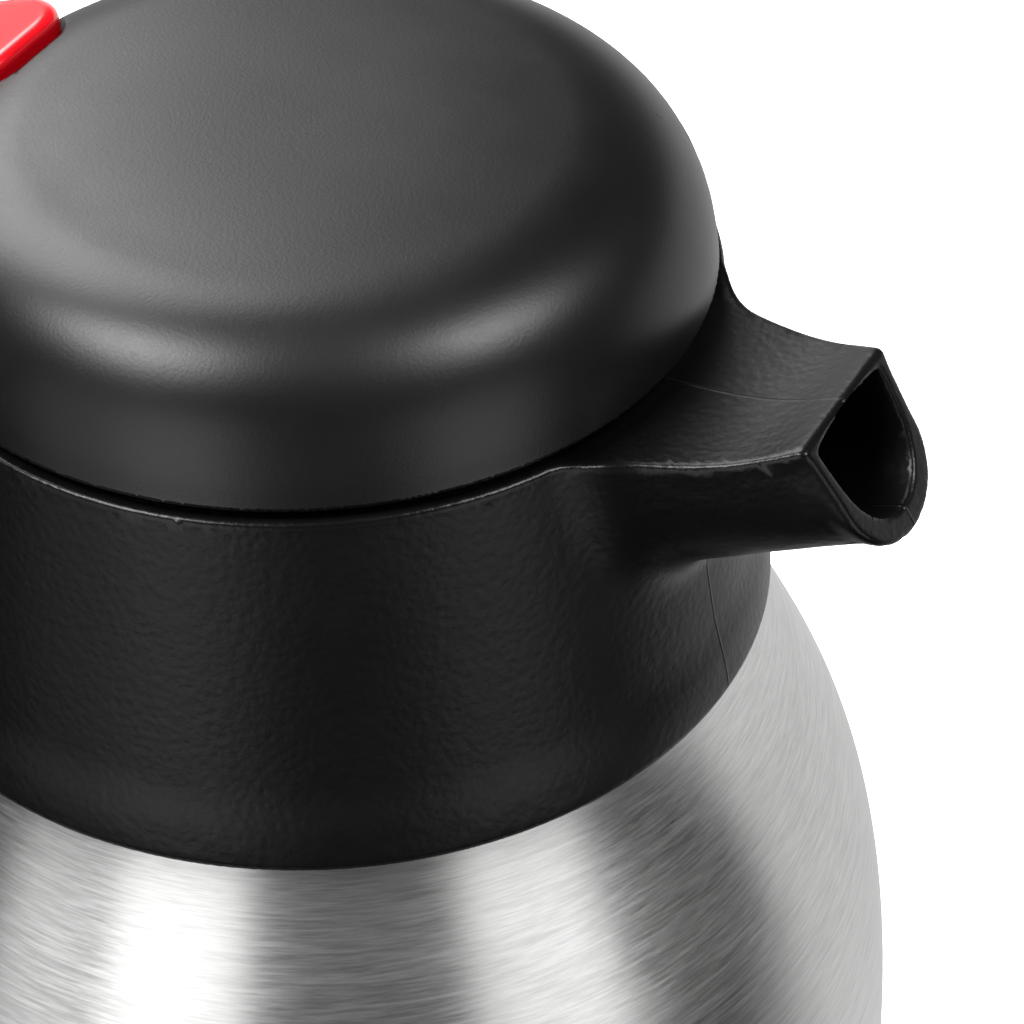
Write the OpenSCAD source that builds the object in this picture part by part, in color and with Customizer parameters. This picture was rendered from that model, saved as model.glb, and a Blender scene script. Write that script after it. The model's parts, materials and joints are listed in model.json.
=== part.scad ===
// Thermal carafe with a flip lid: a double-walled steel flask under a black pouring collar,
// a domed lid that carries a pour valve and its red thumb lever, and a loop handle.
// The spout points to +X and the handle to -X. The origin is the middle of the foot's resting face.

/* [Flask] */
// Largest radius of the steel body
body_r = 72.2; // [70:0.1:78]
// Height of the widest part above the table
belly_z = 66; // [56:1:76]
// Radius of the steel body at its foot
foot_r = 64.4; // [60:0.1:67]
// Radius of the steel body where it meets the collar
shoulder_r = 53.1; // [52:0.1:55]
// Outside radius of the flask's neck
neck_r = 40; // [38:0.1:42]
// Thickness of each steel wall
steel_t = 0.7; // [0.5:0.1:1]
// Width of the evacuated space between the two walls
vacuum_gap = 4; // [3:0.1:5]
// Height of the inner flask's bottom above the table
inner_floor_z = 14; // [12:0.5:18]

/* [Foot] */
// Thickness of the rubber pad that the carafe stands on
pad_t = 2; // [1.5:0.1:3]
// Radius of the rubber pad
pad_r = 54; // [45:1:57]
// Height of the foot cover's underside above the table
cover_lift = 0.8; // [0.5:0.1:1.2]
// Wall and floor thickness of the foot cover
cover_t = 2; // [1.6:0.1:2.4]
// Height at which the steel body leaves the foot cover
foot_z = 9; // [8:0.5:12]

/* [Collar] */
// Height of the collar's rim above the table
rim_z = 190; // [180:1:200]
// Outside radius of the rim
rim_r = 47.8; // [47.2:0.1:49]
// Thickness of the collar's wall
collar_t = 2.4; // [2:0.1:2.6]
// Height of the collar from its lower edge to the rim
collar_h = 44; // [42:1:47]
// Depth of the pouring bowl inside the collar
bowl_depth = 21; // [20:0.5:22.5]
// Thickness of the bowl's floor
floor_t = 3; // [2.5:0.1:4]
// Step from the steel body out to the collar's lower edge
collar_step = 1.1; // [0.6:0.1:1.8]
// Height of the band along the collar's lower edge
band_h = 8; // [5:0.5:10]
// Thickness of the seal between the steel lip and the collar
neck_seal_t = 1.2; // [0.8:0.1:2]

/* [Spout] */
// Distance of the spout's upper tip from the middle of the carafe
spout_x = 66.5; // [64:0.5:70]
// Height of the spout's upper tip above the rim
spout_rise = 3.2; // [2:0.1:5]
// Half of the spout's width at its upper tip
spout_w = 10.7; // [9.5:0.1:12]
// Height of the spout's open end along its slanted face
spout_mouth = 16.6; // [15:0.1:18]
// Lean of the spout's open end away from upright
spout_lean = 33; // [28:0.5:38]
// Thickness of the spout's wall
spout_t = 2.3; // [1.8:0.1:2.6]
// Half of the spout's width where it leaves the collar
spout_root_w = 15.6; // [14:0.1:17]

/* [Lid] */
// Height of the dome above the rim
dome_h = 19.5; // [18.5:0.1:22]
// Radius of the dome's edge, which reaches out over the rim
dome_r = 47.1; // [46.6:0.1:47.6]
// Gap between the dome's edge and the rim below it
dome_gap = 0.8; // [0.6:0.1:1.2]
// Thickness of the dome
dome_t = 2.2; // [1.8:0.1:2.4]
// Gap between the dome's skirt and the inside of the rim
lid_gap = 0.7; // [0.5:0.05:1]
// Depth that the dome's skirt reaches below the rim
dome_drop = 2; // [1.5:0.1:2.5]
// Thickness of the plate under the dome
liner_t = 2.5; // [2:0.1:3]
// Distance of the lid's hinge pin from the middle of the carafe
hinge_x = 54; // [53.5:0.1:55]
// Height of the hinge pin below the rim
hinge_drop = 0; // [0:0.1:0.5]
// Radius of the hinge pin
hinge_pin_r = 1.5; // [1.2:0.05:1.8]
// Half of the width of the lid's hinge arm
hinge_arm_w = 8.2; // [7:0.1:9]
// Thickness of each hinge lug on the collar
lug_t = 5.6; // [4:0.1:7]
// Radius of the lid's three screws
lid_screw_r = 1.3; // [1:0.05:1.5]

/* [Lever] */
// Half of the thumb pad's width
pad_w = 11.4; // [10:0.1:12]
// Distance of the pad's front edge from the middle of the carafe
pad_front = 35; // [34.5:0.1:36]
// Distance of the pad's rear end from the middle of the carafe
pad_back = 56.5; // [54:0.1:57]
// Height that the pad stands proud of the dome
pad_proud = 2.7; // [2:0.1:3.2]
// Thickness of the pad
pad_thick = 4.6; // [4:0.1:5]
// Gap round the pad in the dome
slot_gap = 0.6; // [0.4:0.05:1]
// Distance of the lever's pin from the middle of the carafe
pivot_x = 30; // [29:0.1:31]
// Height of the lever's pin above the rim
pivot_rise = 7; // [6.5:0.1:7.5]
// Radius of the lever's pin
lever_pin_r = 1.25; // [1:0.05:1.5]

/* [Pour valve] */
// Radius of the seat's hole
seat_r = 14; // [12:0.1:15]
// Depth of the seat's upper face below the rim
seat_drop = 33; // [32:0.5:34]
// Width of the seal's ring outside the seat's hole
seat_land = 3; // [2:0.1:4]
// Thickness of the valve disc
disc_t = 2.5; // [2:0.1:3]
// Radius of the valve's stem
stem_r = 2.5; // [2:0.1:3]
// Thickness of the rubber on the valve disc
valve_seal_t = 1; // [0.8:0.1:1.5]
// Thickness of the ring that seals the stopper on the bowl's floor
stopper_seal_t = 2.5; // [2:0.1:3]
// Number of turns of the valve's spring
spring_turns = 7; // [5:1:8]
// Radius of the spring's wire
wire_r = 0.45; // [0.4:0.05:0.6]
// Radius of the spring's coil
coil_r = 5.4; // [5:0.1:6]

/* [Handle] */
// Distance of the grip's middle line from the middle of the carafe
grip_x = 112; // [108:1:120]
// Depth of the grip's top bend below the rim
grip_drop = 19; // [15:1:22]
// Height of the handle's lower end above the table
grip_low_z = 66; // [60:1:72]
// Half of the handle's width
grip_w = 13; // [11:0.5:15]
// Thickness of the handle's inner part
grip_in_t = 9; // [8:0.5:11]
// Thickness of the handle's outer cover
grip_out_t = 5; // [4:0.5:7]
// Distance of the collar's handle boss from the middle of the carafe
boss_x = 62; // [60:0.5:64]
// Radius of the handle's screws
handle_screw_r = 1.8; // [1.5:0.1:2.2]

/* [Fits] */
// Running clearance of pins in their bores
run_gap = 0.05; // [0.02:0.01:0.08]
// Clearance between pieces that are fixed together
seat_gap = 0.15; // [0.1:0.05:0.25]
// Gap between the valve's clip and the lever's fork
fork_gap = 0.4; // [0.3:0.05:0.6]

/* [Hidden] */
$fn = 96;

black = [0.05, 0.05, 0.055];
steel = [0.72, 0.73, 0.74];
red = [0.85, 0.03, 0.07];
grey = [0.3, 0.3, 0.31];
tiny = 0.01;

bowl_r = rim_r - collar_t;
bowl_z = rim_z - bowl_depth;
floor_z = bowl_z - floor_t;
lip_z = floor_z - neck_seal_t;
collar_z = rim_z - collar_h;
collar_low_r = shoulder_r + collar_step;
inner_neck_r = neck_r - steel_t - vacuum_gap;
bore_r = inner_neck_r - steel_t;
mouth_r = bore_r - 1.1;
sleeve_r = neck_r + 1.3;
sleeve_t = 2;
sleeve_drop = 8;
step_r = shoulder_r - 2;
band_step = 0.3;
root_drop = 1.4;

skirt_r = bowl_r - lid_gap;
edge_z = rim_z + dome_gap;
dome_z = rim_z - dome_drop;
dome_top = rim_z + dome_h;
liner_r = skirt_r - dome_t - seat_gap;
hinge_z = rim_z - hinge_drop;
knuckle_r = hinge_pin_r + 2.1;
lug_y = hinge_arm_w + 0.6;
notch_gap = 0.6;

stopper_r = mouth_r - 3.5;
stopper_low_r = mouth_r - 6.5;
seal_in_r = mouth_r - 1.5;
seal_out_r = mouth_r + 3;
stopper_t = 2;
flange_t = 1.7;
flange_z = bowl_z + stopper_seal_t;
seat_z = rim_z - seat_drop;
seat_t = 2;
disc_r = seat_r + seat_land;
disc_z = seat_z + valve_seal_t;
spring_z = disc_z + disc_t;

pivot_z = rim_z + pivot_rise;
hub_r = lever_pin_r + 1.9;
hub_w = 7;
post_t = 3;
fork_r = 6;
fork_z = pivot_z + 1.5;
clip_z = fork_z + fork_gap;
clip_t = 2;
clip_r = stem_r + 2.6;
stem_top = clip_z + clip_t + 0.8;

grip_top_z = rim_z - grip_drop;
grip_span = grip_top_z - grip_low_z;
grip_reach = grip_x - boss_x;
grip_start_z = grip_top_z - 5;
grip_end_x = body_r + 3;
screw_z = floor_z - 5;
screw_y = 0.46 * grip_w;
screw_bite = 5.5 * handle_screw_r;
screw_head_r = 1.8 * handle_screw_r;
bracket_t = 1.2;
bracket_w = 0.77 * grip_w;
bracket_h = 2.4 * bracket_w;
tongue_t = 2.4;
tongue_w = 0.6 * bracket_w;
tongue_x = grip_end_x + 1.5 * bracket_w;
tongue_z = grip_low_z + 1.5;
bracket_screw_x = grip_end_x + 0.9 * bracket_w;

// A cubic curve through p0 and p3, drawn towards p1 and p2, as n + 1 points
function curve(p0, p1, p2, p3, n = 12) = [
    for (i = [0 : n])
        let (t = i / n, s = 1 - t)
            s * s * s * p0 + 3 * s * s * t * p1 + 3 * s * t * t * p2 + t * t * t * p3
];

// The outward side of an outline that runs upward, at its point i
function side(p, i) =
    let (a = p[max(i - 1, 0)], b = p[min(i + 1, len(p) - 1)], d = (b - a) / norm(b - a))
        [d.y, -d.x];

// An outline moved inward by t
function inward(p, t) = [for (i = [0 : len(p) - 1]) p[i] - t * side(p, i)];

function backward(p) = [for (i = [len(p) - 1 : -1 : 0]) p[i]];

function above(p, z) = [for (q = p) if (q.y > z) q];

function below(p, z) = [for (q = p) if (q.y < z) q];

// The steel body's side from the foot cover to the collar
low_h = belly_z - foot_z;
high_h = collar_z - belly_z;
body_side = concat(
    curve([foot_r, foot_z],
        [foot_r + 0.38 * (body_r - foot_r), foot_z + 0.25 * low_h],
        [body_r, belly_z - 0.6 * low_h],
        [body_r, belly_z]),
    curve([body_r, belly_z + 1],
        [body_r, belly_z + 0.7 * high_h],
        [shoulder_r + 0.19 * (body_r - shoulder_r), collar_z - 0.275 * high_h],
        [shoulder_r, collar_z - seat_gap], 20)
);

// The hidden shoulder from under the collar to the top of the neck
shoulder_side = concat(
    curve([step_r, collar_z + 3], [step_r, collar_z + 9], [neck_r, collar_z + 5], [neck_r, collar_z + 11]),
    [[neck_r, lip_z - steel_t]]
);

// A thin wall that stands inside an outline
module wall(p, t) {
    polygon(concat(p, backward(inward(p, t))));
}

module outer_shell() {
    outline = concat(
        [[foot_r - cover_t - seat_gap, cover_lift + cover_t + 1.6]],
        [[foot_r - cover_t - seat_gap, foot_z - 0.5]],
        body_side,
        [[step_r, collar_z]],
        shoulder_side
    );
    thread_r = neck_r - 0.4;
    color(steel) {
        rotate_extrude() wall(outline, steel_t);
        for (z = [lip_z - 3.5, lip_z - 6.5])
            translate([0, 0, z])
                rotate_extrude() translate([thread_r, 0]) circle(0.9, $fn = 24);
    }
}

module inner_flask() {
    gap = steel_t + vacuum_gap;
    bend = foot_r / 3;
    rise = below(above(inward(body_side, gap), inner_floor_z + bend), collar_z - gap / 2);
    corner = rise[0].x;
    top = rise[len(rise) - 1];
    neck = neck_r - gap;
    outline = concat(
        [[0, inner_floor_z]],
        curve([corner - bend, inner_floor_z],
            [corner - 0.36 * bend, inner_floor_z],
            [corner - 0.05 * bend, inner_floor_z + 0.27 * bend],
            rise[0], 8),
        [for (i = [1 : len(rise) - 1]) rise[i]],
        curve([top.x - 0.05 * gap, top.y + 0.3 * gap],
            [top.x - 0.25 * gap, collar_z + 0.5 * gap],
            [neck, collar_z - 0.1 * gap],
            [neck, collar_z + 1.5 * gap]),
        [[neck, lip_z - steel_t / 2]]
    );
    lip_out = neck_r + 0.3;
    color(steel) {
        rotate_extrude() wall(outline, steel_t);
        translate([0, 0, lip_z - steel_t])
            rotate_extrude()
                translate([bore_r, 0]) square([lip_out - bore_r, steel_t]);
    }
}

module shell_bottom() {
    rim = foot_r - cover_t - seat_gap - steel_t;
    z = cover_lift + cover_t + 2.2;
    outline = [
        [0, z + 1.6], [5, z + 1.6], [7, z + 0.2], [rim - 9, z + 0.2], [rim - 6, z + 1.4],
        [rim, z + 1.4], [rim, z + 1.4 + steel_t], [rim - 6.2, z + 1.4 + steel_t],
        [rim - 9.2, z + 0.2 + steel_t], [6.6, z + 0.2 + steel_t], [4.6, z + 1.6 + steel_t],
        [0, z + 1.6 + steel_t]
    ];
    color(steel) rotate_extrude() polygon(outline);
}

module getter() {
    z = cover_lift + cover_t + 2.4 + steel_t;
    color(grey)
        translate([foot_r / 2, 0, z]) cylinder(h = 1.8, r = 5, $fn = 48);
}

module base_cover() {
    r = foot_r;
    outline = [
        [0, pad_t], [pad_r + 0.3, pad_t], [pad_r + 0.3, cover_lift], [r - 3, cover_lift],
        [r - 1, cover_lift + 0.7], [r, cover_lift + 2.4], [r, foot_z - 0.5],
        [r - cover_t, foot_z - 0.5], [r - cover_t, cover_lift + cover_t + 1.4],
        [r - cover_t - 2.4, cover_lift + cover_t + 1.4], [r - cover_t - 4, pad_t + cover_t],
        [0, pad_t + cover_t]
    ];
    color(black) rotate_extrude() polygon(outline);
}

module base_pad() {
    outline = [
        [0, 0], [pad_r - 0.6, 0], [pad_r, 0.6], [pad_r, pad_t], [0, pad_t]
    ];
    color(grey) rotate_extrude() polygon(outline);
}

module neck_gasket() {
    color(grey)
        translate([0, 0, lip_z])
            rotate_extrude()
                translate([bore_r + 0.6, 0]) square([neck_r - bore_r - 0.8, neck_seal_t]);
}

// The collar's outside, from its lower edge up to the rounded rim
collar_wall = curve([collar_low_r - 0.3, collar_z + 2],
    [shoulder_r - 1.6, collar_z + 0.36 * collar_h],
    [rim_r + collar_t, collar_z + 0.56 * collar_h],
    [rim_r, rim_z - 1.4], 16);
collar_side = concat(
    [[collar_low_r - 0.6, collar_z], [collar_low_r, collar_z + 0.6]],
    [for (q = below(collar_wall, collar_z + band_h)) [q.x + band_step, q.y]],
    above(collar_wall, collar_z + band_h),
    [[rim_r - 0.35, rim_z - 0.5], [rim_r - 1, rim_z]]
);

// The inside of the collar's wall, upward, and its radius at height z
inner_side = above(inward(collar_wall, collar_t), collar_z + 3);

function inner_r(z) = lookup(z, [for (q = inner_side) [q.y, q.x]]);

module collar_ring() {
    outline = concat(
        collar_side,
        [[bowl_r + 0.5, rim_z], [bowl_r, rim_z - 0.5]],
        backward(inner_side),
        [[step_r + seat_gap, collar_z + 3], [step_r + seat_gap, collar_z]]
    );
    rotate_extrude($fn = 128) polygon(outline);
}

// The bowl's floor, with the sleeve that screws on to the neck and carries the collar
module neck_ring() {
    outline = [
        [mouth_r, floor_z], [sleeve_r, floor_z], [sleeve_r, floor_z - sleeve_drop],
        [sleeve_r + sleeve_t, floor_z - sleeve_drop], [sleeve_r + sleeve_t, floor_z],
        [inner_r(floor_z) - seat_gap, floor_z], [inner_r(bowl_z) - seat_gap, bowl_z],
        [mouth_r, bowl_z]
    ];
    color(black) rotate_extrude($fn = 128) polygon(outline);
}

// Thin pieces in the plane of a spout section: two upper corners and the lower half of a round
module spout_section(half_w, bottom_r, height, corner_r) {
    for (y = [-1, 1])
        translate([0, y * (half_w - corner_r), -corner_r])
            rotate([0, 90, 0]) cylinder(h = 0.1, r = corner_r, $fn = 24);
    translate([0, 0, bottom_r - height])
        intersection() {
            rotate([0, 90, 0]) cylinder(h = 0.1, r = bottom_r, $fn = 64);
            translate([-1, -bottom_r, -bottom_r]) cube([2, 2 * bottom_r, bottom_r]);
        }
}

// The section at the open end, drawn in by a wall and moved out along the spout by reach
module spout_end(wall_in, top_in, reach) {
    translate([spout_x, 0, rim_z + spout_rise])
        rotate([0, -spout_lean, 0])
            translate([reach, 0, -top_in])
                spout_section(spout_w - wall_in, spout_w - 1.6 - 0.8 * wall_in,
                    spout_mouth - wall_in - top_in, 1.5);
}

module spout_solid() {
    root_x = rim_r - 1.4;
    difference() {
        union() {
            hull() {
                spout_end(0, 0, -0.1);
                translate([root_x, 0, rim_z - root_drop])
                    spout_section(spout_root_w + 0.6, spout_root_w - 2.6, 22.8, 2);
            }
            hull() {
                translate([root_x, 0, rim_z - root_drop])
                    spout_section(spout_root_w + 4, spout_root_w + 1, 25.4, 2);
                translate([rim_r + 6.4, 0, rim_z - root_drop])
                    spout_section(spout_root_w - 2, spout_root_w - 4.4, 19.4, 2);
            }
        }
        spout_top_cut();
    }
}

// What lies above the hollow curve of the spout's upper face
module spout_top_cut() {
    low = rim_z - root_drop;
    top = rim_z + spout_rise;
    start = rim_r - 3.6;
    line = curve([start, low], [start + 14, low], [spout_x - 6, top - 2.4], [spout_x, top]);
    rotate([90, 0, 0])
        linear_extrude(height = 4 * spout_root_w, center = true)
            polygon(concat(line, [[spout_x + 20, top + 4], [spout_x + 20, top + 20], [start, top + 20]]));
}

// What lies above the rim where it dips to the root of the spout
module rim_dip() {
    low = rim_z - root_drop;
    slope = curve([spout_root_w - 2, low], [spout_root_w + 2, low],
        [spout_root_w + 3, rim_z + tiny], [spout_root_w + 7, rim_z + tiny], 10);
    other = [for (q = backward(slope)) [-q.x, q.y]];
    translate([bowl_r - 6, 0, 0])
        rotate([90, 0, 90])
            linear_extrude(height = 9 + collar_t)
                polygon(concat(other, slope,
                    [[spout_root_w + 7, rim_z + 4], [-spout_root_w - 7, rim_z + 4]]));
}

module spout_channel() {
    hull() {
        spout_end(spout_t, 1, 1);
        translate([rim_r - 4.6, 0, bowl_z + 14.6])
            spout_section(10.5, 9.4, 14.2, 2);
    }
}

// What would reach inside the collar's wall
module inner_space() {
    rotate_extrude($fn = 128)
        polygon(concat(
            [[0, collar_z], [inner_side[0].x, collar_z]],
            inner_side,
            [[bowl_r, rim_z - 0.5], [bowl_r, rim_z + 10], [0, rim_z + 10]]
        ));
}

module hinge_lugs() {
    for (y = [-1, 1])
        translate([0, y * (lug_y + lug_t / 2), 0])
            rotate([90, 0, 0])
                linear_extrude(height = lug_t, center = true)
                    difference() {
                        union() {
                            translate([-hinge_x, hinge_z]) circle(knuckle_r, $fn = 48);
                            polygon([
                                [-hinge_x - knuckle_r, hinge_z],
                                [-hinge_x - knuckle_r + 2, hinge_z - 12],
                                [-bowl_r, hinge_z - 12],
                                [-bowl_r, hinge_z - 1],
                                [-hinge_x + knuckle_r, hinge_z]
                            ]);
                        }
                        translate([-hinge_x, hinge_z]) circle(hinge_pin_r + run_gap, $fn = 48);
                    }
}

module handle_boss() {
    w = grip_w - 1;
    translate([-boss_x, -w, grip_start_z - grip_in_t - 1])
        cube([boss_x - bowl_r, 2 * w, grip_in_t + grip_out_t + 2]);
}

module handle_screw_bores(x0, x1, r) {
    for (y = [-screw_y, screw_y])
        translate([-x1, y, screw_z])
            rotate([0, 90, 0]) cylinder(h = x1 - x0, r = r, $fn = 32);
}

module collar() {
    arm_y = hinge_arm_w + notch_gap;
    color(black)
        difference() {
            union() {
                collar_ring();
                difference() {
                    union() {
                        spout_solid();
                        handle_boss();
                        hinge_lugs();
                    }
                    inner_space();
                }
            }
            spout_channel();
            rim_dip();
            translate([-hinge_x - 8, -arm_y, hinge_z - knuckle_r - 1.4])
                cube([hinge_x + 8 - bowl_r + 6, 2 * arm_y, 12]);
            handle_screw_bores(bowl_r - 2, boss_x + 1, handle_screw_r + run_gap);
        }
}

module hinge_pin() {
    length = 2 * (lug_y + lug_t);
    color(steel)
        translate([-hinge_x, 0, hinge_z])
            rotate([90, 0, 0]) cylinder(h = length, r = hinge_pin_r, center = true, $fn = 48);
}

// The line along which the handle's two parts meet, from the collar's boss to the lower end
grip_line = concat(
    [[-boss_x, grip_start_z]],
    curve([-boss_x - 0.06 * grip_reach, grip_start_z],
        [-boss_x - 0.48 * grip_reach, grip_start_z + 0.12 * grip_reach],
        [-grip_x, grip_top_z + 0.03 * grip_span],
        [-grip_x, grip_top_z - 0.32 * grip_span], 14),
    curve([-grip_x, grip_top_z - 0.37 * grip_span],
        [-grip_x, grip_low_z + 0.5 * grip_span],
        [-grip_x + 0.02 * grip_reach, grip_low_z + 0.32 * grip_span],
        [-grip_x + 0.08 * grip_reach, grip_low_z + 0.19 * grip_span], 8),
    curve([-grip_x + 0.12 * grip_reach, grip_low_z + 0.13 * grip_span],
        [-grip_x + 0.2 * grip_reach, grip_low_z + 0.03 * grip_span],
        [-grip_end_x - 0.32 * grip_reach, grip_low_z],
        [-grip_end_x - 0.06 * grip_reach, grip_low_z], 10),
    [[-grip_end_x, grip_low_z]]
);

// A closed tube through rings of points, each ring with the same count
module skin(rings) {
    n = len(rings[0]);
    m = len(rings);
    points = [for (ring = rings) each ring];
    walls = [
        for (i = [0 : m - 2], j = [0 : n - 1])
            let (a = i * n + j, b = i * n + (j + 1) % n)
                each [[a, b, a + n], [b, b + n, a + n]]
    ];
    ends = [
        for (j = [1 : n - 2]) each [[0, j + 1, j], [(m - 1) * n, (m - 1) * n + j, (m - 1) * n + j + 1]]
    ];
    polyhedron(points = points, faces = concat(walls, ends));
}

// Half of a rounded bar: flat on the meeting line and round on its other side
function half_round(w, t, n = 14) = [
    for (i = [0 : n])
        let (a = 180 * i / n, s = sign(cos(a)) * pow(abs(cos(a)), 0.55))
            [w * s, t * pow(abs(sin(a)), 0.7)]
];

// The handle's half sections placed along the meeting line, on its inner or outer side
function grip_rings(inner) = [
    for (i = [0 : len(grip_line) - 1])
        let (
            s = side(grip_line, i),
            f = i / (len(grip_line) - 1),
            w = grip_w - 1.5 * f,
            t = inner ? grip_in_t - 1.5 * f : grip_out_t
        )
            [for (q = half_round(w, t))
                inner
                    ? [grip_line[i].x - s.x * q.y, -q.x, grip_line[i].y - s.y * q.y]
                    : [grip_line[i].x + s.x * q.y, q.x, grip_line[i].y + s.y * q.y]]
];

module bracket_screw_bore(gap) {
    translate([-bracket_screw_x, 0, grip_low_z - grip_out_t])
        cylinder(h = grip_out_t + grip_in_t - 1, r = handle_screw_r + gap, $fn = 32);
}

module handle_inner() {
    color(black)
        difference() {
            skin(grip_rings(true));
            handle_screw_bores(boss_x - 1, boss_x + screw_bite + 2, handle_screw_r + run_gap);
            bracket_screw_bore(run_gap);
            translate([-tongue_x - seat_gap, -tongue_w - seat_gap, tongue_z - seat_gap])
                cube([tongue_x, 2 * (tongue_w + seat_gap), tongue_t + 2 * seat_gap]);
        }
}

module handle_cover() {
    color(black)
        difference() {
            skin(grip_rings(false));
            bracket_screw_bore(run_gap);
            translate([-bracket_screw_x, 0, grip_low_z - 2 * grip_out_t])
                cylinder(h = 1.6 * grip_out_t, r = screw_head_r + seat_gap, $fn = 48);
        }
}

module handle_bracket() {
    r = body_r + seat_gap;
    color(steel)
        difference() {
            union() {
                intersection() {
                    translate([0, 0, grip_low_z - bracket_h / 2]) ring(r, r + bracket_t, bracket_h);
                    translate([-r - bracket_w, -bracket_w, grip_low_z - bracket_h / 2])
                        cube([2 * bracket_w, 2 * bracket_w, bracket_h]);
                }
                translate([-tongue_x, -tongue_w, tongue_z])
                    cube([tongue_x - r - bracket_t / 2, 2 * tongue_w, tongue_t]);
            }
            bracket_screw_bore(run_gap);
        }
}

// The screws' heads stand against the inside of the collar, just clear of its curve
module handle_screws() {
    head_x = sqrt(inner_r(screw_z + screw_head_r) ^ 2 - (screw_y + screw_head_r) ^ 2) - seat_gap;
    color(steel) {
        handle_screw_bores(head_x, boss_x + screw_bite, handle_screw_r);
        for (y = [-screw_y, screw_y])
            translate([-head_x, y, screw_z])
                rotate([0, 90, 0]) cylinder(h = 1.3 * handle_screw_r, r = screw_head_r, $fn = 32);
    }
}

module bracket_screw() {
    color(steel)
        translate([-bracket_screw_x, 0, grip_low_z - 0.4 * grip_out_t]) {
            translate([0, 0, -2]) cylinder(h = 2, r = screw_head_r, $fn = 48);
            cylinder(h = grip_in_t - 0.5, r = handle_screw_r, $fn = 32);
        }
}

// The dome's outside, from its edge to the middle of its crown
dome_base = edge_z + 1.2;
dome_rise = dome_top - dome_base;
dome_side = concat(
    [[dome_r - 0.3, edge_z], [dome_r, edge_z + 0.3]],
    curve([dome_r - 0.1, dome_base],
        [dome_r - 0.8, dome_base + 0.5 * dome_rise],
        [dome_r - 5.6, dome_base + 0.937 * dome_rise],
        [dome_r - 17, dome_top - 0.6], 16),
    curve([dome_r - 20, dome_top - 0.45], [dome_r - 28, dome_top], [12, dome_top], [0, dome_top], 6)
);

// The dome's skirt stands inside the rim
dome_skirt = [[skirt_r - 0.3, dome_z], [skirt_r, dome_z + 0.3], [skirt_r, edge_z]];

module dome_solid() {
    rotate_extrude($fn = 128) polygon(concat([[0, dome_z]], dome_skirt, dome_side));
}

// The thumb pad's plan, grown by gap; its rear end is moved out by more
module pad_plan(gap, more) {
    r = 4 + gap;
    w = pad_w + gap;
    front = pad_front - gap;
    back = pad_back + more;
    for (x = [front + r, back - r], y = [r - w, w - r])
        translate([-x, y]) circle(r, $fn = 48);
    translate([-back + r, -w]) square([back - front - 2 * r, 2 * w]);
    translate([-back, r - w]) square([back - front, 2 * (w - r)]);
}

lid_screw_ring = 0.81 * dome_r;
lid_screw_head = 1.4 * lid_screw_r;
lid_screw_bite = 5.4 * lid_screw_r;

module at_lid_screws(z) {
    for (a = [0, 120, 240])
        rotate([0, 0, a]) translate([lid_screw_ring, 0, z]) children();
}

module lid_dome() {
    inside = [for (q = above(inward(dome_side, dome_t), edge_z + dome_t)) [max(q.x, 0), q.y]];
    liner_top = dome_z + liner_t;
    ledge = [[inside[0].x, edge_z + dome_t], [skirt_r - dome_t, edge_z + dome_t], [skirt_r - dome_t, dome_z]];
    color(black)
        difference() {
            union() {
                rotate_extrude($fn = 128) polygon(concat(dome_skirt, dome_side, backward(inside), ledge));
                intersection() {
                    dome_solid();
                    at_lid_screws(liner_top) cylinder(h = dome_h, r = 2.6 * lid_screw_r, $fn = 48);
                }
            }
            translate([0, 0, rim_z + 7.5])
                linear_extrude(height = dome_h) pad_plan(slot_gap, 8);
            translate([-hinge_x, -hinge_arm_w - 0.3, dome_z - 1])
                cube([hinge_x / 3, 2 * hinge_arm_w + 0.6, knuckle_r + 3]);
            at_lid_screws(liner_top - 1)
                cylinder(h = lid_screw_bite + 1.5, r = lid_screw_r + run_gap, $fn = 32);
        }
}

module lever_post() {
    rotate([90, 0, 0])
        linear_extrude(height = post_t, center = true)
            difference() {
                union() {
                    translate([-pivot_x, pivot_z]) circle(hub_r, $fn = 48);
                    translate([-pivot_x - hub_r, dome_z + liner_t / 2])
                        square([2 * hub_r, pivot_z - dome_z - liner_t / 2]);
                }
                translate([-pivot_x, pivot_z]) circle(lever_pin_r + run_gap, $fn = 48);
            }
}

post_y = hub_w + 0.4 + post_t / 2;
guide_r = stem_r + 1.8;

module lid_liner() {
    color(black)
        difference() {
            union() {
                translate([0, 0, dome_z]) cylinder(h = liner_t, r = liner_r, $fn = 128);
                translate([0, 0, dome_z - 4]) cylinder(h = 8, r = guide_r, $fn = 48);
                for (y = [-post_y, post_y])
                    translate([0, y, 0]) lever_post();
                rotate([90, 0, 0])
                    linear_extrude(height = 2 * hinge_arm_w, center = true)
                        union() {
                            translate([-hinge_x, hinge_z]) circle(knuckle_r, $fn = 48);
                            translate([-hinge_x, hinge_z - knuckle_r + 1.6])
                                square([hinge_x - liner_r + 3, 2 * knuckle_r - 2.4]);
                        }
            }
            translate([0, 0, dome_z - 5]) cylinder(h = 10, r = stem_r + run_gap, $fn = 48);
            translate([-hinge_x, 0, hinge_z])
                rotate([90, 0, 0])
                    cylinder(h = 3 * hinge_arm_w, r = hinge_pin_r + run_gap, center = true, $fn = 48);
            at_lid_screws(dome_z - 1) cylinder(h = liner_t + 2, r = lid_screw_r + run_gap, $fn = 32);
        }
}

module lid_screws() {
    color(steel)
        at_lid_screws(dome_z) {
            cylinder(h = liner_t + lid_screw_bite, r = lid_screw_r, $fn = 32);
            translate([0, 0, -lid_screw_head])
                cylinder(h = lid_screw_head, r = 2 * lid_screw_r, $fn = 32);
        }
}

stopper_top = flange_z + flange_t;

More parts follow.
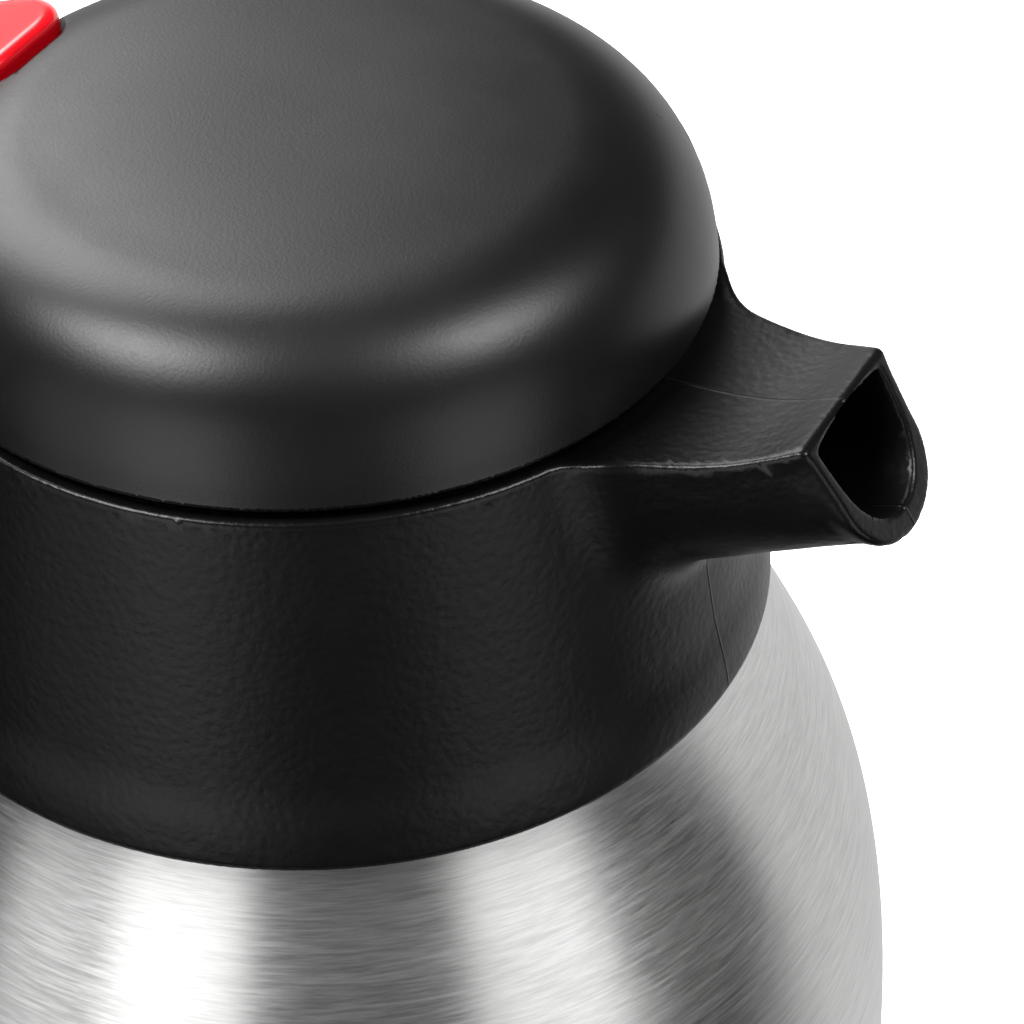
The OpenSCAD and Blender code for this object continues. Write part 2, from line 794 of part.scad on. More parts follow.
module stopper_housing() {
    outline = [
        [seat_r, seat_z - seat_t], [stopper_low_r, seat_z - seat_t], [stopper_r, bowl_z],
        [seal_in_r, bowl_z], [seal_in_r, flange_z], [seal_out_r, flange_z],
        [seal_out_r, stopper_top], [stopper_r - stopper_t, stopper_top],
        [stopper_r - stopper_t, bowl_z], [stopper_low_r - stopper_t, seat_z], [seat_r, seat_z]
    ];
    color(black) rotate_extrude() polygon(outline);
}

// Six posts and a ring, which hold the stopper's cup under the lid and leave windows between them
module stopper_cage() {
    window_h = dome_z - stopper_top - 2.5;
    window_w = 0.72 * stopper_r;
    color(black)
        difference() {
            translate([0, 0, stopper_top])
                ring(stopper_r - stopper_t, stopper_r, dome_z - stopper_top);
            for (a = [0 : 60 : 300])
                rotate([0, 0, a])
                    translate([stopper_r - 3 * stopper_t, -window_w / 2, stopper_top - 1])
                        cube([4 * stopper_t, window_w, window_h + 1]);
        }
}

module stopper_gasket() {
    color(grey)
        translate([0, 0, bowl_z])
            rotate_extrude()
                translate([seal_in_r, 0]) square([seal_out_r - seal_in_r, stopper_seal_t]);
}

module lever_pin() {
    color(steel)
        translate([-pivot_x, 0, pivot_z])
            rotate([90, 0, 0])
                cylinder(h = 2 * post_y + post_t, r = lever_pin_r, center = true, $fn = 48);
}

// One unbroken wire wound round the stem, between the valve disc and the plate above it
module valve_spring() {
    low = spring_z + wire_r + tiny;
    high = dome_z - wire_r - tiny;
    steps = 8 * spring_turns;
    rings = [
        for (i = [0 : steps])
            let (a = 360 * i / 8, z = low + (high - low) * i / steps)
                [for (b = [0 : 60 : 300])
                    let (r = coil_r + wire_r * cos(b))
                        [r * cos(a), r * sin(a), z + wire_r * sin(b)]]
    ];
    echo(str("least gap between turns ", (high - low) / spring_turns - 2 * wire_r));
    color(steel) skin(rings);
}

pad_top = dome_top - 2.7 + pad_proud;

// The lever seen from its side: the pad, the web below it, the hub and the arm to the stem
module pad_outline() {
    tail_z = pad_top - 7;
    top = curve([-pad_front - 1.6, pad_top],
        [-pad_front - 6, pad_top - 0.6],
        [-pad_back + 8, pad_top - 3.6],
        [-pad_back + 0.8, tail_z]);
    bottom = curve([-pad_back + 0.4, tail_z - pad_thick + 1.6],
        [-pad_back + 8, tail_z - pad_thick + 3.2],
        [-pad_front - 10, pad_top - pad_thick - 1.6],
        [-pad_front - 4, pad_top - pad_thick - 1.8]);
    polygon(concat(
        [[-pad_front, pad_top - pad_thick - 1.8], [-pad_front, pad_top - 1.8]],
        [[-pad_front - 0.5, pad_top - 0.6]],
        top,
        [[-pad_back, tail_z - 0.8]],
        bottom
    ));
}

module web_outline() {
    polygon([
        [-pad_front - 5, pad_top - pad_thick - 0.8], [-pad_front, pad_top - pad_thick - 0.8],
        [-pivot_x + 0.6 * hub_r, pivot_z + 0.8 * hub_r], [-pivot_x, pivot_z - 0.5 * hub_r],
        [-pivot_x - 0.8 * hub_r, pivot_z - 0.6 * hub_r]
    ]);
}

module pour_lever() {
    arm_t = 3;
    slot_w = stem_r + 0.5;
    color(red)
        difference() {
            union() {
                intersection() {
                    rotate([90, 0, 0])
                        linear_extrude(height = 3 * pad_w, center = true) pad_outline();
                    translate([0, 0, rim_z]) linear_extrude(height = 2 * dome_h) pad_plan(0, 0);
                }
                rotate([90, 0, 0])
                    linear_extrude(height = 2 * hub_w, center = true) {
                        translate([-pivot_x, pivot_z]) circle(hub_r, $fn = 48);
                        web_outline();
                    }
                rotate([90, 0, 0])
                    linear_extrude(height = 2 * fork_r, center = true) {
                        translate([-pivot_x, fork_z - arm_t]) square([pivot_x - 4, arm_t]);
                        intersection() {
                            translate([0, fork_z - fork_r]) circle(fork_r, $fn = 64);
                            translate([-fork_r, fork_z - arm_t]) square([2 * fork_r, arm_t]);
                        }
                    }
            }
            translate([-slot_w, -slot_w, fork_z - fork_r]) cube([3 * fork_r, 2 * slot_w, 2 * fork_r]);
            translate([-pivot_x, 0, pivot_z])
                rotate([90, 0, 0])
                    cylinder(h = 4 * hub_w, r = lever_pin_r + run_gap, center = true, $fn = 48);
        }
}

module valve_stem() {
    color(steel) {
        translate([0, 0, disc_z]) cylinder(h = stem_top - disc_z, r = stem_r, $fn = 48);
        translate([0, 0, disc_z - 1.6]) cylinder(h = 1.6, r = 2 * stem_r, $fn = 48);
    }
}

module ring(inner_r, outer_r, h) {
    rotate_extrude() translate([inner_r, 0]) square([outer_r - inner_r, h]);
}

module valve_disc() {
    color(black) translate([0, 0, disc_z]) ring(stem_r + run_gap, disc_r, disc_t);
}

module valve_seal() {
    color(grey) translate([0, 0, seat_z]) ring(seat_r - 2, disc_r, valve_seal_t);
}

module stem_clip() {
    color(steel) translate([0, 0, clip_z]) ring(stem_r + run_gap, clip_r, clip_t);
}

outer_shell();
inner_flask();
shell_bottom();
getter();
base_cover();
base_pad();
neck_gasket();
neck_ring();
collar();
hinge_pin();
handle_inner();
handle_cover();
handle_bracket();
handle_screws();
bracket_screw();
lid_dome();
lid_liner();
lid_screws();
stopper_housing();
stopper_cage();
stopper_gasket();
lever_pin();
valve_spring();
pour_lever();
valve_stem();
valve_disc();
valve_seal();
stem_clip();
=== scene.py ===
import math
import bmesh
import bpy
import numpy as np
import openvdb
from mathutils import Matrix, Vector
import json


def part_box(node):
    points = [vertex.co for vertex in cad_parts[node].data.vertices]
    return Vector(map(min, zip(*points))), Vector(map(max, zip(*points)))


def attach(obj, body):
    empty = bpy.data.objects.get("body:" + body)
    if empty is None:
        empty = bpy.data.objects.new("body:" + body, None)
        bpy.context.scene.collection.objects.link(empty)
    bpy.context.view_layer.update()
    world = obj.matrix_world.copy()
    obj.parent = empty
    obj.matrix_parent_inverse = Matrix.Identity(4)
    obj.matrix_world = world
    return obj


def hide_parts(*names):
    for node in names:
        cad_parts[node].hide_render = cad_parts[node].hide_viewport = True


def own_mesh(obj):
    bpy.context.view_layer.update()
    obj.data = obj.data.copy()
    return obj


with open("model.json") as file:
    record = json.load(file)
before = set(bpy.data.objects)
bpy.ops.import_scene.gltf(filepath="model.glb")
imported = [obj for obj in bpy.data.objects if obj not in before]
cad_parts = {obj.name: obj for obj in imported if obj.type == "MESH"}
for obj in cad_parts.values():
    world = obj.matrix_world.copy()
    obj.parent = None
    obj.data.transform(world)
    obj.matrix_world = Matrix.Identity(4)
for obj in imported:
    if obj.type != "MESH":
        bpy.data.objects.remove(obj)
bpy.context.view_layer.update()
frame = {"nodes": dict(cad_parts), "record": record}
print("frame loaded:", len(frame["nodes"]), "nodes")

mm = 0.001  # every shape below is written in millimetres and scaled once, when its mesh is made

# Camera at the photograph's angle

view = {"place": (0.17323, -0.27402, 0.41569), "look": (-0.3666, 0.6835, -0.6311), "roll": -0.01425,
        "lens": 121.29}


def addCamera():
    look = Vector(view["look"]).normalized()
    right = look.cross(Vector((0, 0, 1))).normalized()
    up = right.cross(look)
    c, s = math.cos(view["roll"]), math.sin(view["roll"])
    axes = (c * right + s * up, c * up - s * right, -look)
    lens = bpy.data.cameras.new("camera")
    lens.sensor_width = 36
    lens.lens = view["lens"]
    camera = bpy.data.objects.new("camera", lens)
    camera.matrix_world = Matrix.Translation(view["place"]) @ Matrix(axes).transposed().to_4x4()
    bpy.context.scene.collection.objects.link(camera)
    bpy.context.scene.camera = camera


addCamera()

# Node trees written as plain arithmetic


class Wire:  # a socket that can be added, multiplied and so on
    def __init__(self, tree, socket):
        self.tree, self.socket = tree, socket

    def math(self, operation, *others):
        return self.tree.node("ShaderNodeMath", {"operation": operation}, dict(enumerate((self,) + others)))

    def __add__(self, other):
        return self.math("ADD", other)

    def __sub__(self, other):
        return self.math("SUBTRACT", other)

    def __mul__(self, other):
        return self.math("MULTIPLY", other)

    def __truediv__(self, other):
        return self.math("DIVIDE", other)

    def __pow__(self, other):
        return self.math("POWER", other)

    def __rsub__(self, other):
        return self * -1 + other

    def __rtruediv__(self, other):
        return self ** -1 * other

    __radd__ = __add__
    __rmul__ = __mul__

    def fade(self, low, high, start=0.0, end=1.0):
        settings = {"interpolation_type": "SMOOTHSTEP"}
        return self.tree.node("ShaderNodeMapRange", settings, {0: self, 1: low, 2: high, 3: start, 4: end})


class Tree:
    def __init__(self, nodes):
        self.nodes = nodes

    def node(self, kind, settings=None, inputs=None, out=0):
        made = self.nodes.nodes.new(kind)
        for key, value in (settings or {}).items():
            setattr(made, key, value)
        for key, value in (inputs or {}).items():
            for one in value if isinstance(value, list) else [value]:
                if isinstance(one, Wire):
                    self.nodes.links.new(one.socket, made.inputs[key])
                else:
                    made.inputs[key].default_value = one
        return Wire(self, made.outputs[out]) if len(made.outputs) else made

    def mix(self, amount, a, b):
        a, b = ((*c, 1) if isinstance(c, tuple) else c for c in (a, b))
        return self.node("ShaderNodeMix", {"data_type": "RGBA"}, {0: amount, 6: a, 7: b}, 2)

    def noise(self, at, scale, detail=2.0, roughness=0.5):
        inputs = {"Vector": at, "Scale": scale, "Detail": detail, "Roughness": roughness}
        return self.node("ShaderNodeTexNoise", {}, inputs)

    def parts(self, vector):
        split = self.node("ShaderNodeSeparateXYZ", {}, {0: vector}).socket.node
        return [Wire(self, s) for s in split.outputs]

    def vector(self, x, y, z):
        return self.node("ShaderNodeCombineXYZ", {}, {0: x, 1: y, 2: z})

    def scaled(self, vector, x, y, z):
        return self.node("ShaderNodeVectorMath", {"operation": "MULTIPLY"}, {0: vector, 1: (x, y, z)})

    def bump(self, height, depth, strength=1.0):
        return self.node("ShaderNodeBump", {},
                         {"Height": height, "Distance": depth * mm, "Strength": strength})


class Finish(Tree):  # a material with one shader, whose uneven sockets are linked
    def __init__(self, name, **fixed):
        self.material = bpy.data.materials.new(name)
        self.material.use_nodes = True
        super().__init__(self.material.node_tree)
        self.shader = next(n for n in self.nodes.nodes if n.type == "BSDF_PRINCIPLED")
        coordinates = self.node("ShaderNodeTexCoord", out=3)
        self.at = self.scaled(coordinates, 1000, 1000, 1000)
        for key, value in fixed.items():
            self.shader.inputs[key.replace("_", " ")].default_value = value

    def put(self, **linked):
        for key, value in linked.items():
            self.nodes.links.new(value.socket, self.shader.inputs[key.replace("_", " ")])
        return self.material


# Finishes


def brushedSteel(name, tint, roughness, fineness):
    f = Finish(name, Metallic=1.0, Anisotropic=0.72, Anisotropic_Rotation=0.25)
    x, y, z = f.parts(f.at)
    radius = (x * x + y * y) ** 0.5
    along = z + radius * 0.55
    strokes = f.noise(f.vector(x / radius * 7, y / radius * 7, along * fineness), 1.6, 4.0, 0.66)
    longer = f.noise(f.vector(x / radius * 2, y / radius * 2, along * fineness * 0.45), 1.5, 3.0, 0.6)
    cloud = f.noise(f.at, 0.03, 3.0)
    shade = strokes * 0.62 + longer * 0.26 + cloud * 0.12
    darker, lighter = (tuple(c * k for c in tint) for k in (0.74, 1.12))
    return f.put(
        Base_Color=f.mix(shade.fade(0.32, 0.68), darker, lighter),
        Roughness=(strokes * 0.2 + longer * 0.1 + roughness - 0.15),
        Normal=f.bump(strokes * 0.7 + longer * 0.3, 0.012, 0.7))


def satinPlastic(name, colour, roughness, grain, depth, gloss=0.42, seam=False):
    f = Finish(name, Specular_IOR_Level=gloss)
    cells = f.noise(f.at, grain, 3.0, 0.6)
    pores = f.node("ShaderNodeTexVoronoi", {"feature": "SMOOTH_F1"}, {"Vector": f.at, "Scale": grain * 0.8})
    skin = cells * 0.6 + pores * 0.7
    sheen = f.noise(f.at, 0.045, 4.0, 0.6)
    dust = f.noise(f.at, 0.9, 5.0, 0.7).fade(0.56, 0.78)
    edgeWearAndHighlight = f.node("ShaderNodeAttribute", {"attribute_name": "edgeWearAndHighlight"}, out=2) * (0.7 + dust * 0.3)
    height = skin
    if seam:  # the mould's parting line down the middle of the spout and collar
        x, y, z = f.parts(f.at)
        line = y.math("ABSOLUTE").fade(0.0, 0.28, 1.0, 0.0) * x.fade(40, 46)
        height = skin + line * 1.6
    soft = tuple(c * 1.8 + 0.001 for c in colour)
    # convex edges are lightened partly as rubbed wear and partly as a painted highlight along the rims
    return f.put(
        Base_Color=f.mix(sheen.fade(0.3, 0.75) * 0.45 + dust * 0.2 + edgeWearAndHighlight * 0.35, colour, soft),
        Roughness=sheen * 0.14 + cells * 0.08 + dust * 0.05 + roughness - 0.12 - edgeWearAndHighlight * 0.2,
        Normal=f.bump(height, depth, 0.8))


def glossPlastic(name, colour, deep):
    f = Finish(name, Specular_IOR_Level=0.5, Coat_Roughness=0.06, Subsurface_Weight=0.0)
    swirl = f.noise(f.at, 0.06, 3.0, 0.55)
    peel = f.noise(f.at, 0.55, 2.0, 0.5)
    scuff = f.noise(f.scaled(f.at, 0.5, 2.2, 1.0), 1.7, 6.0, 0.75).fade(0.6, 0.85)
    return f.put(
        Base_Color=f.mix(swirl.fade(0.25, 0.75), deep, colour),
        Roughness=peel * 0.06 + scuff * 0.12 + 0.2,
        Coat_Weight=0.55 - scuff * 0.3,
        Normal=f.bump(peel, 0.02, 0.35))


def rubber(name, colour, roughness):
    f = Finish(name, Specular_IOR_Level=0.35)
    grit = f.noise(f.at, 2.4, 4.0, 0.7)
    bloom = f.noise(f.at, 0.07, 3.0).fade(0.35, 0.75)
    pale = tuple(c * 1.5 + 0.01 for c in colour)
    return f.put(
        Base_Color=f.mix(bloom * 0.6 + grit * 0.2, colour, pale),
        Roughness=grit * 0.12 + roughness - 0.06,
        Normal=f.bump(grit, 0.04, 0.7))


def plainSteel(name, tint, roughness):
    f = Finish(name, Metallic=1.0)
    marks = f.noise(f.scaled(f.at, 1, 1, 5), 1.1, 5.0, 0.6)
    cloud = f.noise(f.at, 0.08, 2.0)
    dull = tuple(c * 0.8 for c in tint)
    return f.put(
        Base_Color=f.mix(cloud.fade(0.3, 0.7) * 0.6 + marks * 0.3, dull, tint),
        Roughness=marks * 0.14 + cloud * 0.06 + roughness - 0.1,
        Normal=f.bump(marks, 0.01, 0.4))


finishes = {
    "brushed_body": brushedSteel("brushedBody", (0.66, 0.66, 0.655), 0.33, 2.6),
    "inner_steel": brushedSteel("innerSteel", (0.62, 0.615, 0.60), 0.38, 1.4),
    "getter_metal": plainSteel("getterMetal", (0.30, 0.30, 0.31), 0.55),
    "collar_plastic": satinPlastic("collarPlastic", (0.002, 0.002, 0.0022), 0.38, 1.25, 0.075, gloss=0.24,
                                   seam=True),
    "dome_plastic": satinPlastic("domePlastic", (0.0022, 0.0022, 0.0024), 0.37, 3.4, 0.014),
    "black_plastic": satinPlastic("blackPlastic", (0.0035, 0.0035, 0.0038), 0.42, 1.6, 0.035),
    "foot_rubber": rubber("footRubber", (0.028, 0.028, 0.03), 0.78),
    "seal_rubber": rubber("sealRubber", (0.17, 0.17, 0.175), 0.6),
    "pin_steel": plainSteel("pinSteel", (0.66, 0.655, 0.65), 0.26),
    "red_plastic": glossPlastic("redPlastic", (0.72, 0.004, 0.012), (0.62, 0.002, 0.009)),
}
print("finishes:", len(finishes))

# Curves and outlines


def curve(p0, p1, p2, p3, count=24):
    t = np.linspace(0, 1, count + 1)[:, None]
    p0, p1, p2, p3 = (np.array(p, float) for p in (p0, p1, p2, p3))
    return (1 - t) ** 3 * p0 + 3 * (1 - t) ** 2 * t * p1 + 3 * (1 - t) * t * t * p2 + t ** 3 * p3


def outward(line):  # the side of a line that is on its right
    along = np.gradient(line, axis=0)
    along /= np.linalg.norm(along, axis=1)[:, None]
    return np.stack([along[:, 1], -along[:, 0]], 1)


def inward(line, amount):
    return line - amount * outward(line)


def rounded(points, radius, count=6):  # an outline whose corners are rounded, as far as their sides allow
    points = np.array(points, float)
    result = []
    for i, p in enumerate(points):
        a, b = points[i - 1] - p, points[(i + 1) % len(points)] - p
        la, lb = np.linalg.norm(a), np.linalg.norm(b)
        r = radius[i] if isinstance(radius, (list, tuple)) else radius
        r = min(r, 0.45 * la, 0.45 * lb)
        t = np.linspace(0, 1, count + 1)[:, None]
        result.append((1 - t) ** 2 * (p + a / la * r) + 2 * (1 - t) * t * p + t * t * (p + b / lb * r))
    return np.vstack(result)


class Outline:  # signed distance to a closed outline, kept in a fine table
    def __init__(self, points, step=0.15, margin=12.0):
        p = np.array(points, float)
        self.low = p.min(0) - margin
        self.step = step
        size = np.ceil((p.max(0) + margin - self.low) / step).astype(int) + 1
        u = self.low[0] + step * np.arange(size[0])
        v = self.low[1] + step * np.arange(size[1])
        u, v = np.meshgrid(u, v, indexing="ij")
        best = np.full(u.shape, 1e9)
        inside = np.zeros(u.shape, bool)
        for (au, av), (bu, bv) in zip(p, np.roll(p, -1, axis=0)):
            du, dv = bu - au, bv - av
            length = du * du + dv * dv
            if length < 1e-10:
                continue
            t = np.clip(((u - au) * du + (v - av) * dv) / length, 0, 1)
            best = np.minimum(best, (u - au - t * du) ** 2 + (v - av - t * dv) ** 2)
            if av != bv:
                inside ^= ((av <= v) != (bv <= v)) & (u < au + (v - av) / (dv) * du)
        self.table = np.where(inside, -1, 1) * np.sqrt(best)

    def __call__(self, u, v):
        return sample(self.table, (u - self.low[0]) / self.step, (v - self.low[1]) / self.step)


def sample(table, u, v):
    u = np.clip(u, 0, table.shape[0] - 1.001)
    v = np.clip(v, 0, table.shape[1] - 1.001)
    i, j = u.astype(int), v.astype(int)
    u, v = u - i, v - j
    return ((1 - u) * (1 - v) * table[i, j] + u * (1 - v) * table[i + 1, j]
            + (1 - u) * v * table[i, j + 1] + u * v * table[i + 1, j + 1])


class Track:  # for points beside a line: how far along it they are, and how far to its right
    def __init__(self, line, step=0.4, margin=20.0):
        self.low = line.min(0) - margin
        self.step = step
        size = np.ceil((line.max(0) + margin - self.low) / step).astype(int) + 1
        u = self.low[0] + step * np.arange(size[0])
        v = self.low[1] + step * np.arange(size[1])
        u, v = np.meshgrid(u, v, indexing="ij")
        best = np.full(u.shape, 1e9)
        self.share, self.offset = np.zeros(u.shape), np.zeros(u.shape)
        for i, (a, b) in enumerate(zip(line[:-1], line[1:])):
            d = b - a
            t = np.clip(((u - a[0]) * d[0] + (v - a[1]) * d[1]) / (d @ d), 0, 1)
            pu, pv = u - a[0] - t * d[0], v - a[1] - t * d[1]
            near = pu * pu + pv * pv
            take = near < best
            best = np.where(take, near, best)
            self.share = np.where(take, (i + t) / (len(line) - 1), self.share)
            self.offset = np.where(take, (pu * d[1] - pv * d[0]) / math.sqrt(d @ d), self.offset)

    def __call__(self, u, v):
        u, v = (u - self.low[0]) / self.step, (v - self.low[1]) / self.step
        return sample(self.share, u, v), sample(self.offset, u, v)


# Solid shapes as signed distances, joined and cut with soft edges


def joined(a, b, soft):
    h = np.clip(0.5 + 0.5 * (b - a) / soft, 0, 1)
    return b + (a - b) * h - soft * h * (1 - h)


def common(a, b, soft):
    return -joined(-a, -b, soft)


def cut(a, b, soft):
    return -joined(-a, b, soft)


def smooth(x, low, high):
    t = np.clip((x - low) / (high - low), 0, 1)
    return t * t * (3 - 2 * t)


def slab(value, low, high):
    return np.maximum(low - value, value - high)


def plate(u, v, low, high, radius):  # a rectangle with round corners
    du = np.abs(u - (low[0] + high[0]) / 2) - (high[0] - low[0]) / 2 + radius
    dv = np.abs(v - (low[1] + high[1]) / 2) - (high[1] - low[1]) / 2 + radius
    outside = np.sqrt(np.maximum(du, 0) ** 2 + np.maximum(dv, 0) ** 2)
    return outside + np.minimum(np.maximum(du, dv), 0) - radius


def disc(u, v, centre, radius):
    return np.sqrt((u - centre[0]) ** 2 + (v - centre[1]) ** 2) - radius


def put(piece, name, slot, body, *nodes):
    piece.name = piece.data.name = name
    piece.data.materials.clear()
    piece.data.materials.append(finishes[slot])
    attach(piece, body)
    if nodes:
        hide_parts(*nodes)


def linked(name, mesh):
    piece = bpy.data.objects.new(name, mesh)
    bpy.context.scene.collection.objects.link(piece)
    return piece


def meshFrom(name, points, faces, normals):
    mesh = bpy.data.meshes.new(name)
    mesh.from_pydata((np.asarray(points) * mm).tolist(), [], faces)
    mesh.update()
    mesh.polygons.foreach_set("use_smooth", [True] * len(mesh.polygons))
    mesh.normals_split_custom_set_from_vertices(normals.tolist())
    return linked(name, mesh)


def carved(name, shape, low, high, step, adapt=0.2):
    axes = [np.arange(a, b + step, step) for a, b in zip(low, high)]
    field = np.empty([len(a) for a in axes], np.float32)
    y, z = np.meshgrid(axes[1], axes[2], indexing="ij")
    for i in range(0, len(axes[0]), 8):  # a few slices at a time, which keeps the memory small
        x = axes[0][i:i + 8, None, None]
        field[i:i + 8] = shape(x + 0 * y, y + 0 * x, z + 0 * x)
    grid = openvdb.FloatGrid(4.0 * step)
    grid.copyFromArray(field)
    points, triangles, quads = grid.convertToPolygons(isovalue=0.0, adaptivity=adapt)
    points = points.astype(float) * step + np.array(low, float)

    def slope(p, h):
        parts = []
        for axis in range(3):
            reach = np.zeros(3)
            reach[axis] = h
            parts.append((shape(*(p + reach).T) - shape(*(p - reach).T)) / (2 * h))
        return np.stack(parts, 1)

    for _ in range(3):  # the points are drawn on to the exact surface
        g = slope(points, 0.06)
        move = -(shape(*points.T) / np.maximum((g * g).sum(1), 0.25))[:, None] * g
        length = np.linalg.norm(move, axis=1)[:, None]
        points += move * np.minimum(1, 0.4 * step / np.maximum(length, 1e-9))
    normals = slope(points, 0.1)
    normals /= np.maximum(np.linalg.norm(normals, axis=1)[:, None], 1e-9)
    aside = np.cross(normals, [0.36, 0.48, 0.8])
    aside /= np.maximum(np.linalg.norm(aside, axis=1)[:, None], 1e-9)
    across = np.cross(normals, aside)
    rise = sum(shape(*(points + 0.8 * t).T) for t in (aside, -aside, across, -across))
    faces = triangles.tolist() + quads.tolist()
    a, b, c = (points[[f[i] for f in faces]] for i in range(3))
    facing = (np.cross(b - a, c - a) * normals[[f[0] for f in faces]]).sum(1)
    if (facing < 0).sum() > len(faces) / 2:
        faces = [f[::-1] for f in faces]
    print(name, "has", len(triangles) + 2 * len(quads), "triangles")
    piece = meshFrom(name, points, faces, normals)
    # how sharply the surface bends outwards, for the rubbed edges, which the plastic finish also lightens
    # as a painted highlight
    edgeWearAndHighlight = piece.data.attributes.new("edgeWearAndHighlight", "FLOAT", "POINT")
    edgeWearAndHighlight.data.foreach_set("value", smooth(rise / 3.2, 0.05, 0.26).astype(np.float32))
    return piece


# Geometry node trees: how each one starts, ends and is used


def startGroup(title, **sockets):
    nodes = bpy.data.node_groups.new(title, "GeometryNodeTree")
    for name, kind in sockets.items():
        nodes.interface.new_socket(name, in_out="INPUT", socket_type="NodeSocket" + kind)
    nodes.interface.new_socket("Result", in_out="OUTPUT", socket_type="NodeSocketGeometry")
    tree = Tree(nodes)
    source = tree.node("NodeGroupInput").socket.node
    return tree, [Wire(tree, socket) for socket in source.outputs][:len(sockets)]


def endGroup(tree, shape, finish):
    flat = tree.node("GeometryNodeRealizeInstances", {}, {0: shape})
    done = tree.node("GeometryNodeSetMaterial", {}, {0: flat, "Material": finish})
    tree.node("NodeGroupOutput", {}, {0: done})
    return tree.nodes


# Turned pieces: one node tree carries an outline round the upright axis


def turningTree():
    t, given = startGroup("turning", Outline="Geometry", Sides="Int", Core="Float", Finish="Material")
    outline, sides, core, finish = given
    section = t.node("GeometryNodeMeshToCurve", {}, {0: outline})
    ring = t.node("GeometryNodeCurvePrimitiveCircle", {"mode": "RADIUS"},
                  {"Resolution": sides, "Radius": core})
    swept = t.node("GeometryNodeCurveToMesh", {}, {0: ring, "Profile Curve": section})
    return endGroup(t, t.node("GeometryNodeMergeByDistance", {}, {0: swept, "Distance": 1e-6}), finish)


def setInputs(modifier, values):
    for item in modifier.node_group.interface.items_tree:
        if item.in_out == "INPUT" and item.name in values:
            modifier[item.identifier] = values[item.name]


def bakedMesh(carrier, tree, values):
    modifier = carrier.modifiers.new("shape", "NODES")
    modifier.node_group = tree
    setInputs(modifier, values)
    bpy.context.view_layer.update()
    ready = carrier.evaluated_get(bpy.context.evaluated_depsgraph_get())
    mesh = bpy.data.meshes.new_from_object(ready)
    carrier.modifiers.remove(modifier)
    old = carrier.data
    carrier.data = mesh
    bpy.data.meshes.remove(old)
    return carrier


turning = turningTree()


def turned(name, outline, slot, body, nodes, sides=256, sharp=0.6):
    core = 1.0
    outline = np.array(outline, float)
    points = np.stack([outline[:, 0] - core, -outline[:, 1], 0 * outline[:, 0]], 1)
    count = len(points)
    mesh = bpy.data.meshes.new(name)
    mesh.from_pydata((points * mm).tolist(), [(i, (i + 1) % count) for i in range(count)], [])
    piece = linked(name, mesh)
    bakedMesh(piece, turning, {"Sides": sides, "Core": core * mm, "Finish": finishes[slot]})
    work = bmesh.new()
    work.from_mesh(piece.data)
    bmesh.ops.remove_doubles(work, verts=work.verts, dist=2e-6)
    bmesh.ops.dissolve_degenerate(work, edges=work.edges, dist=1e-6)
    bmesh.ops.recalc_face_normals(work, faces=work.faces)
    for face in work.faces:
        face.smooth = True
    for edge in work.edges:
        if len(edge.link_faces) == 2 and edge.calc_face_angle() > sharp:
            edge.smooth = False
    work.to_mesh(piece.data)
    work.free()
    put(piece, name, slot, body, *nodes)
    print(name, "turned with", len(piece.data.polygons), "faces")
    return piece


flask = {"bellyRadius": 72.15, "bellyZ": 66, "footRadius": 64.4, "footZ": 9, "shoulderRadius": 53.1,
         "neckRadius": 40, "wall": 0.7, "vacuum": 4, "innerFloor": 14, "lipZ": 164.8, "pole": 1.05}
collarForm = {"rimZ": 190, "rimRadius": 47.8, "wall": 2.4, "height": 44, "bowlDepth": 21, "floor": 3,
              "step": 1.1, "band": 8, "mouth": 33.5, "sleeve": 41.3, "fillet": 5.0}
rimZ = collarForm["rimZ"]
collarZ = rimZ - collarForm["height"]
bowlZ = rimZ - collarForm["bowlDepth"]
bowlRadius = collarForm["rimRadius"] - collarForm["wall"]


def bodySide():
    r, z, foot, shoulder = (flask[k] for k in ("bellyRadius", "bellyZ", "footRadius", "shoulderRadius"))
    low = curve([foot, flask["footZ"]], [foot + 3, flask["footZ"] + 14], [r, z - 34], [r, z], 40)
    high = curve([r, z], [r, z + 0.7 * (collarZ - z)], [shoulder + 3.6, collarZ - 22],
                 [shoulder, collarZ - 0.15], 60)
    return np.vstack([low, high[1:]])


def shoulderSide():
    neck, step = flask["neckRadius"], flask["shoulderRadius"] - 2
    line = curve([step, collarZ + 3], [step, collarZ + 9], [neck, collarZ + 5], [neck, collarZ + 11])
    return np.vstack([line, [[neck, flask["lipZ"] - flask["wall"]]]])


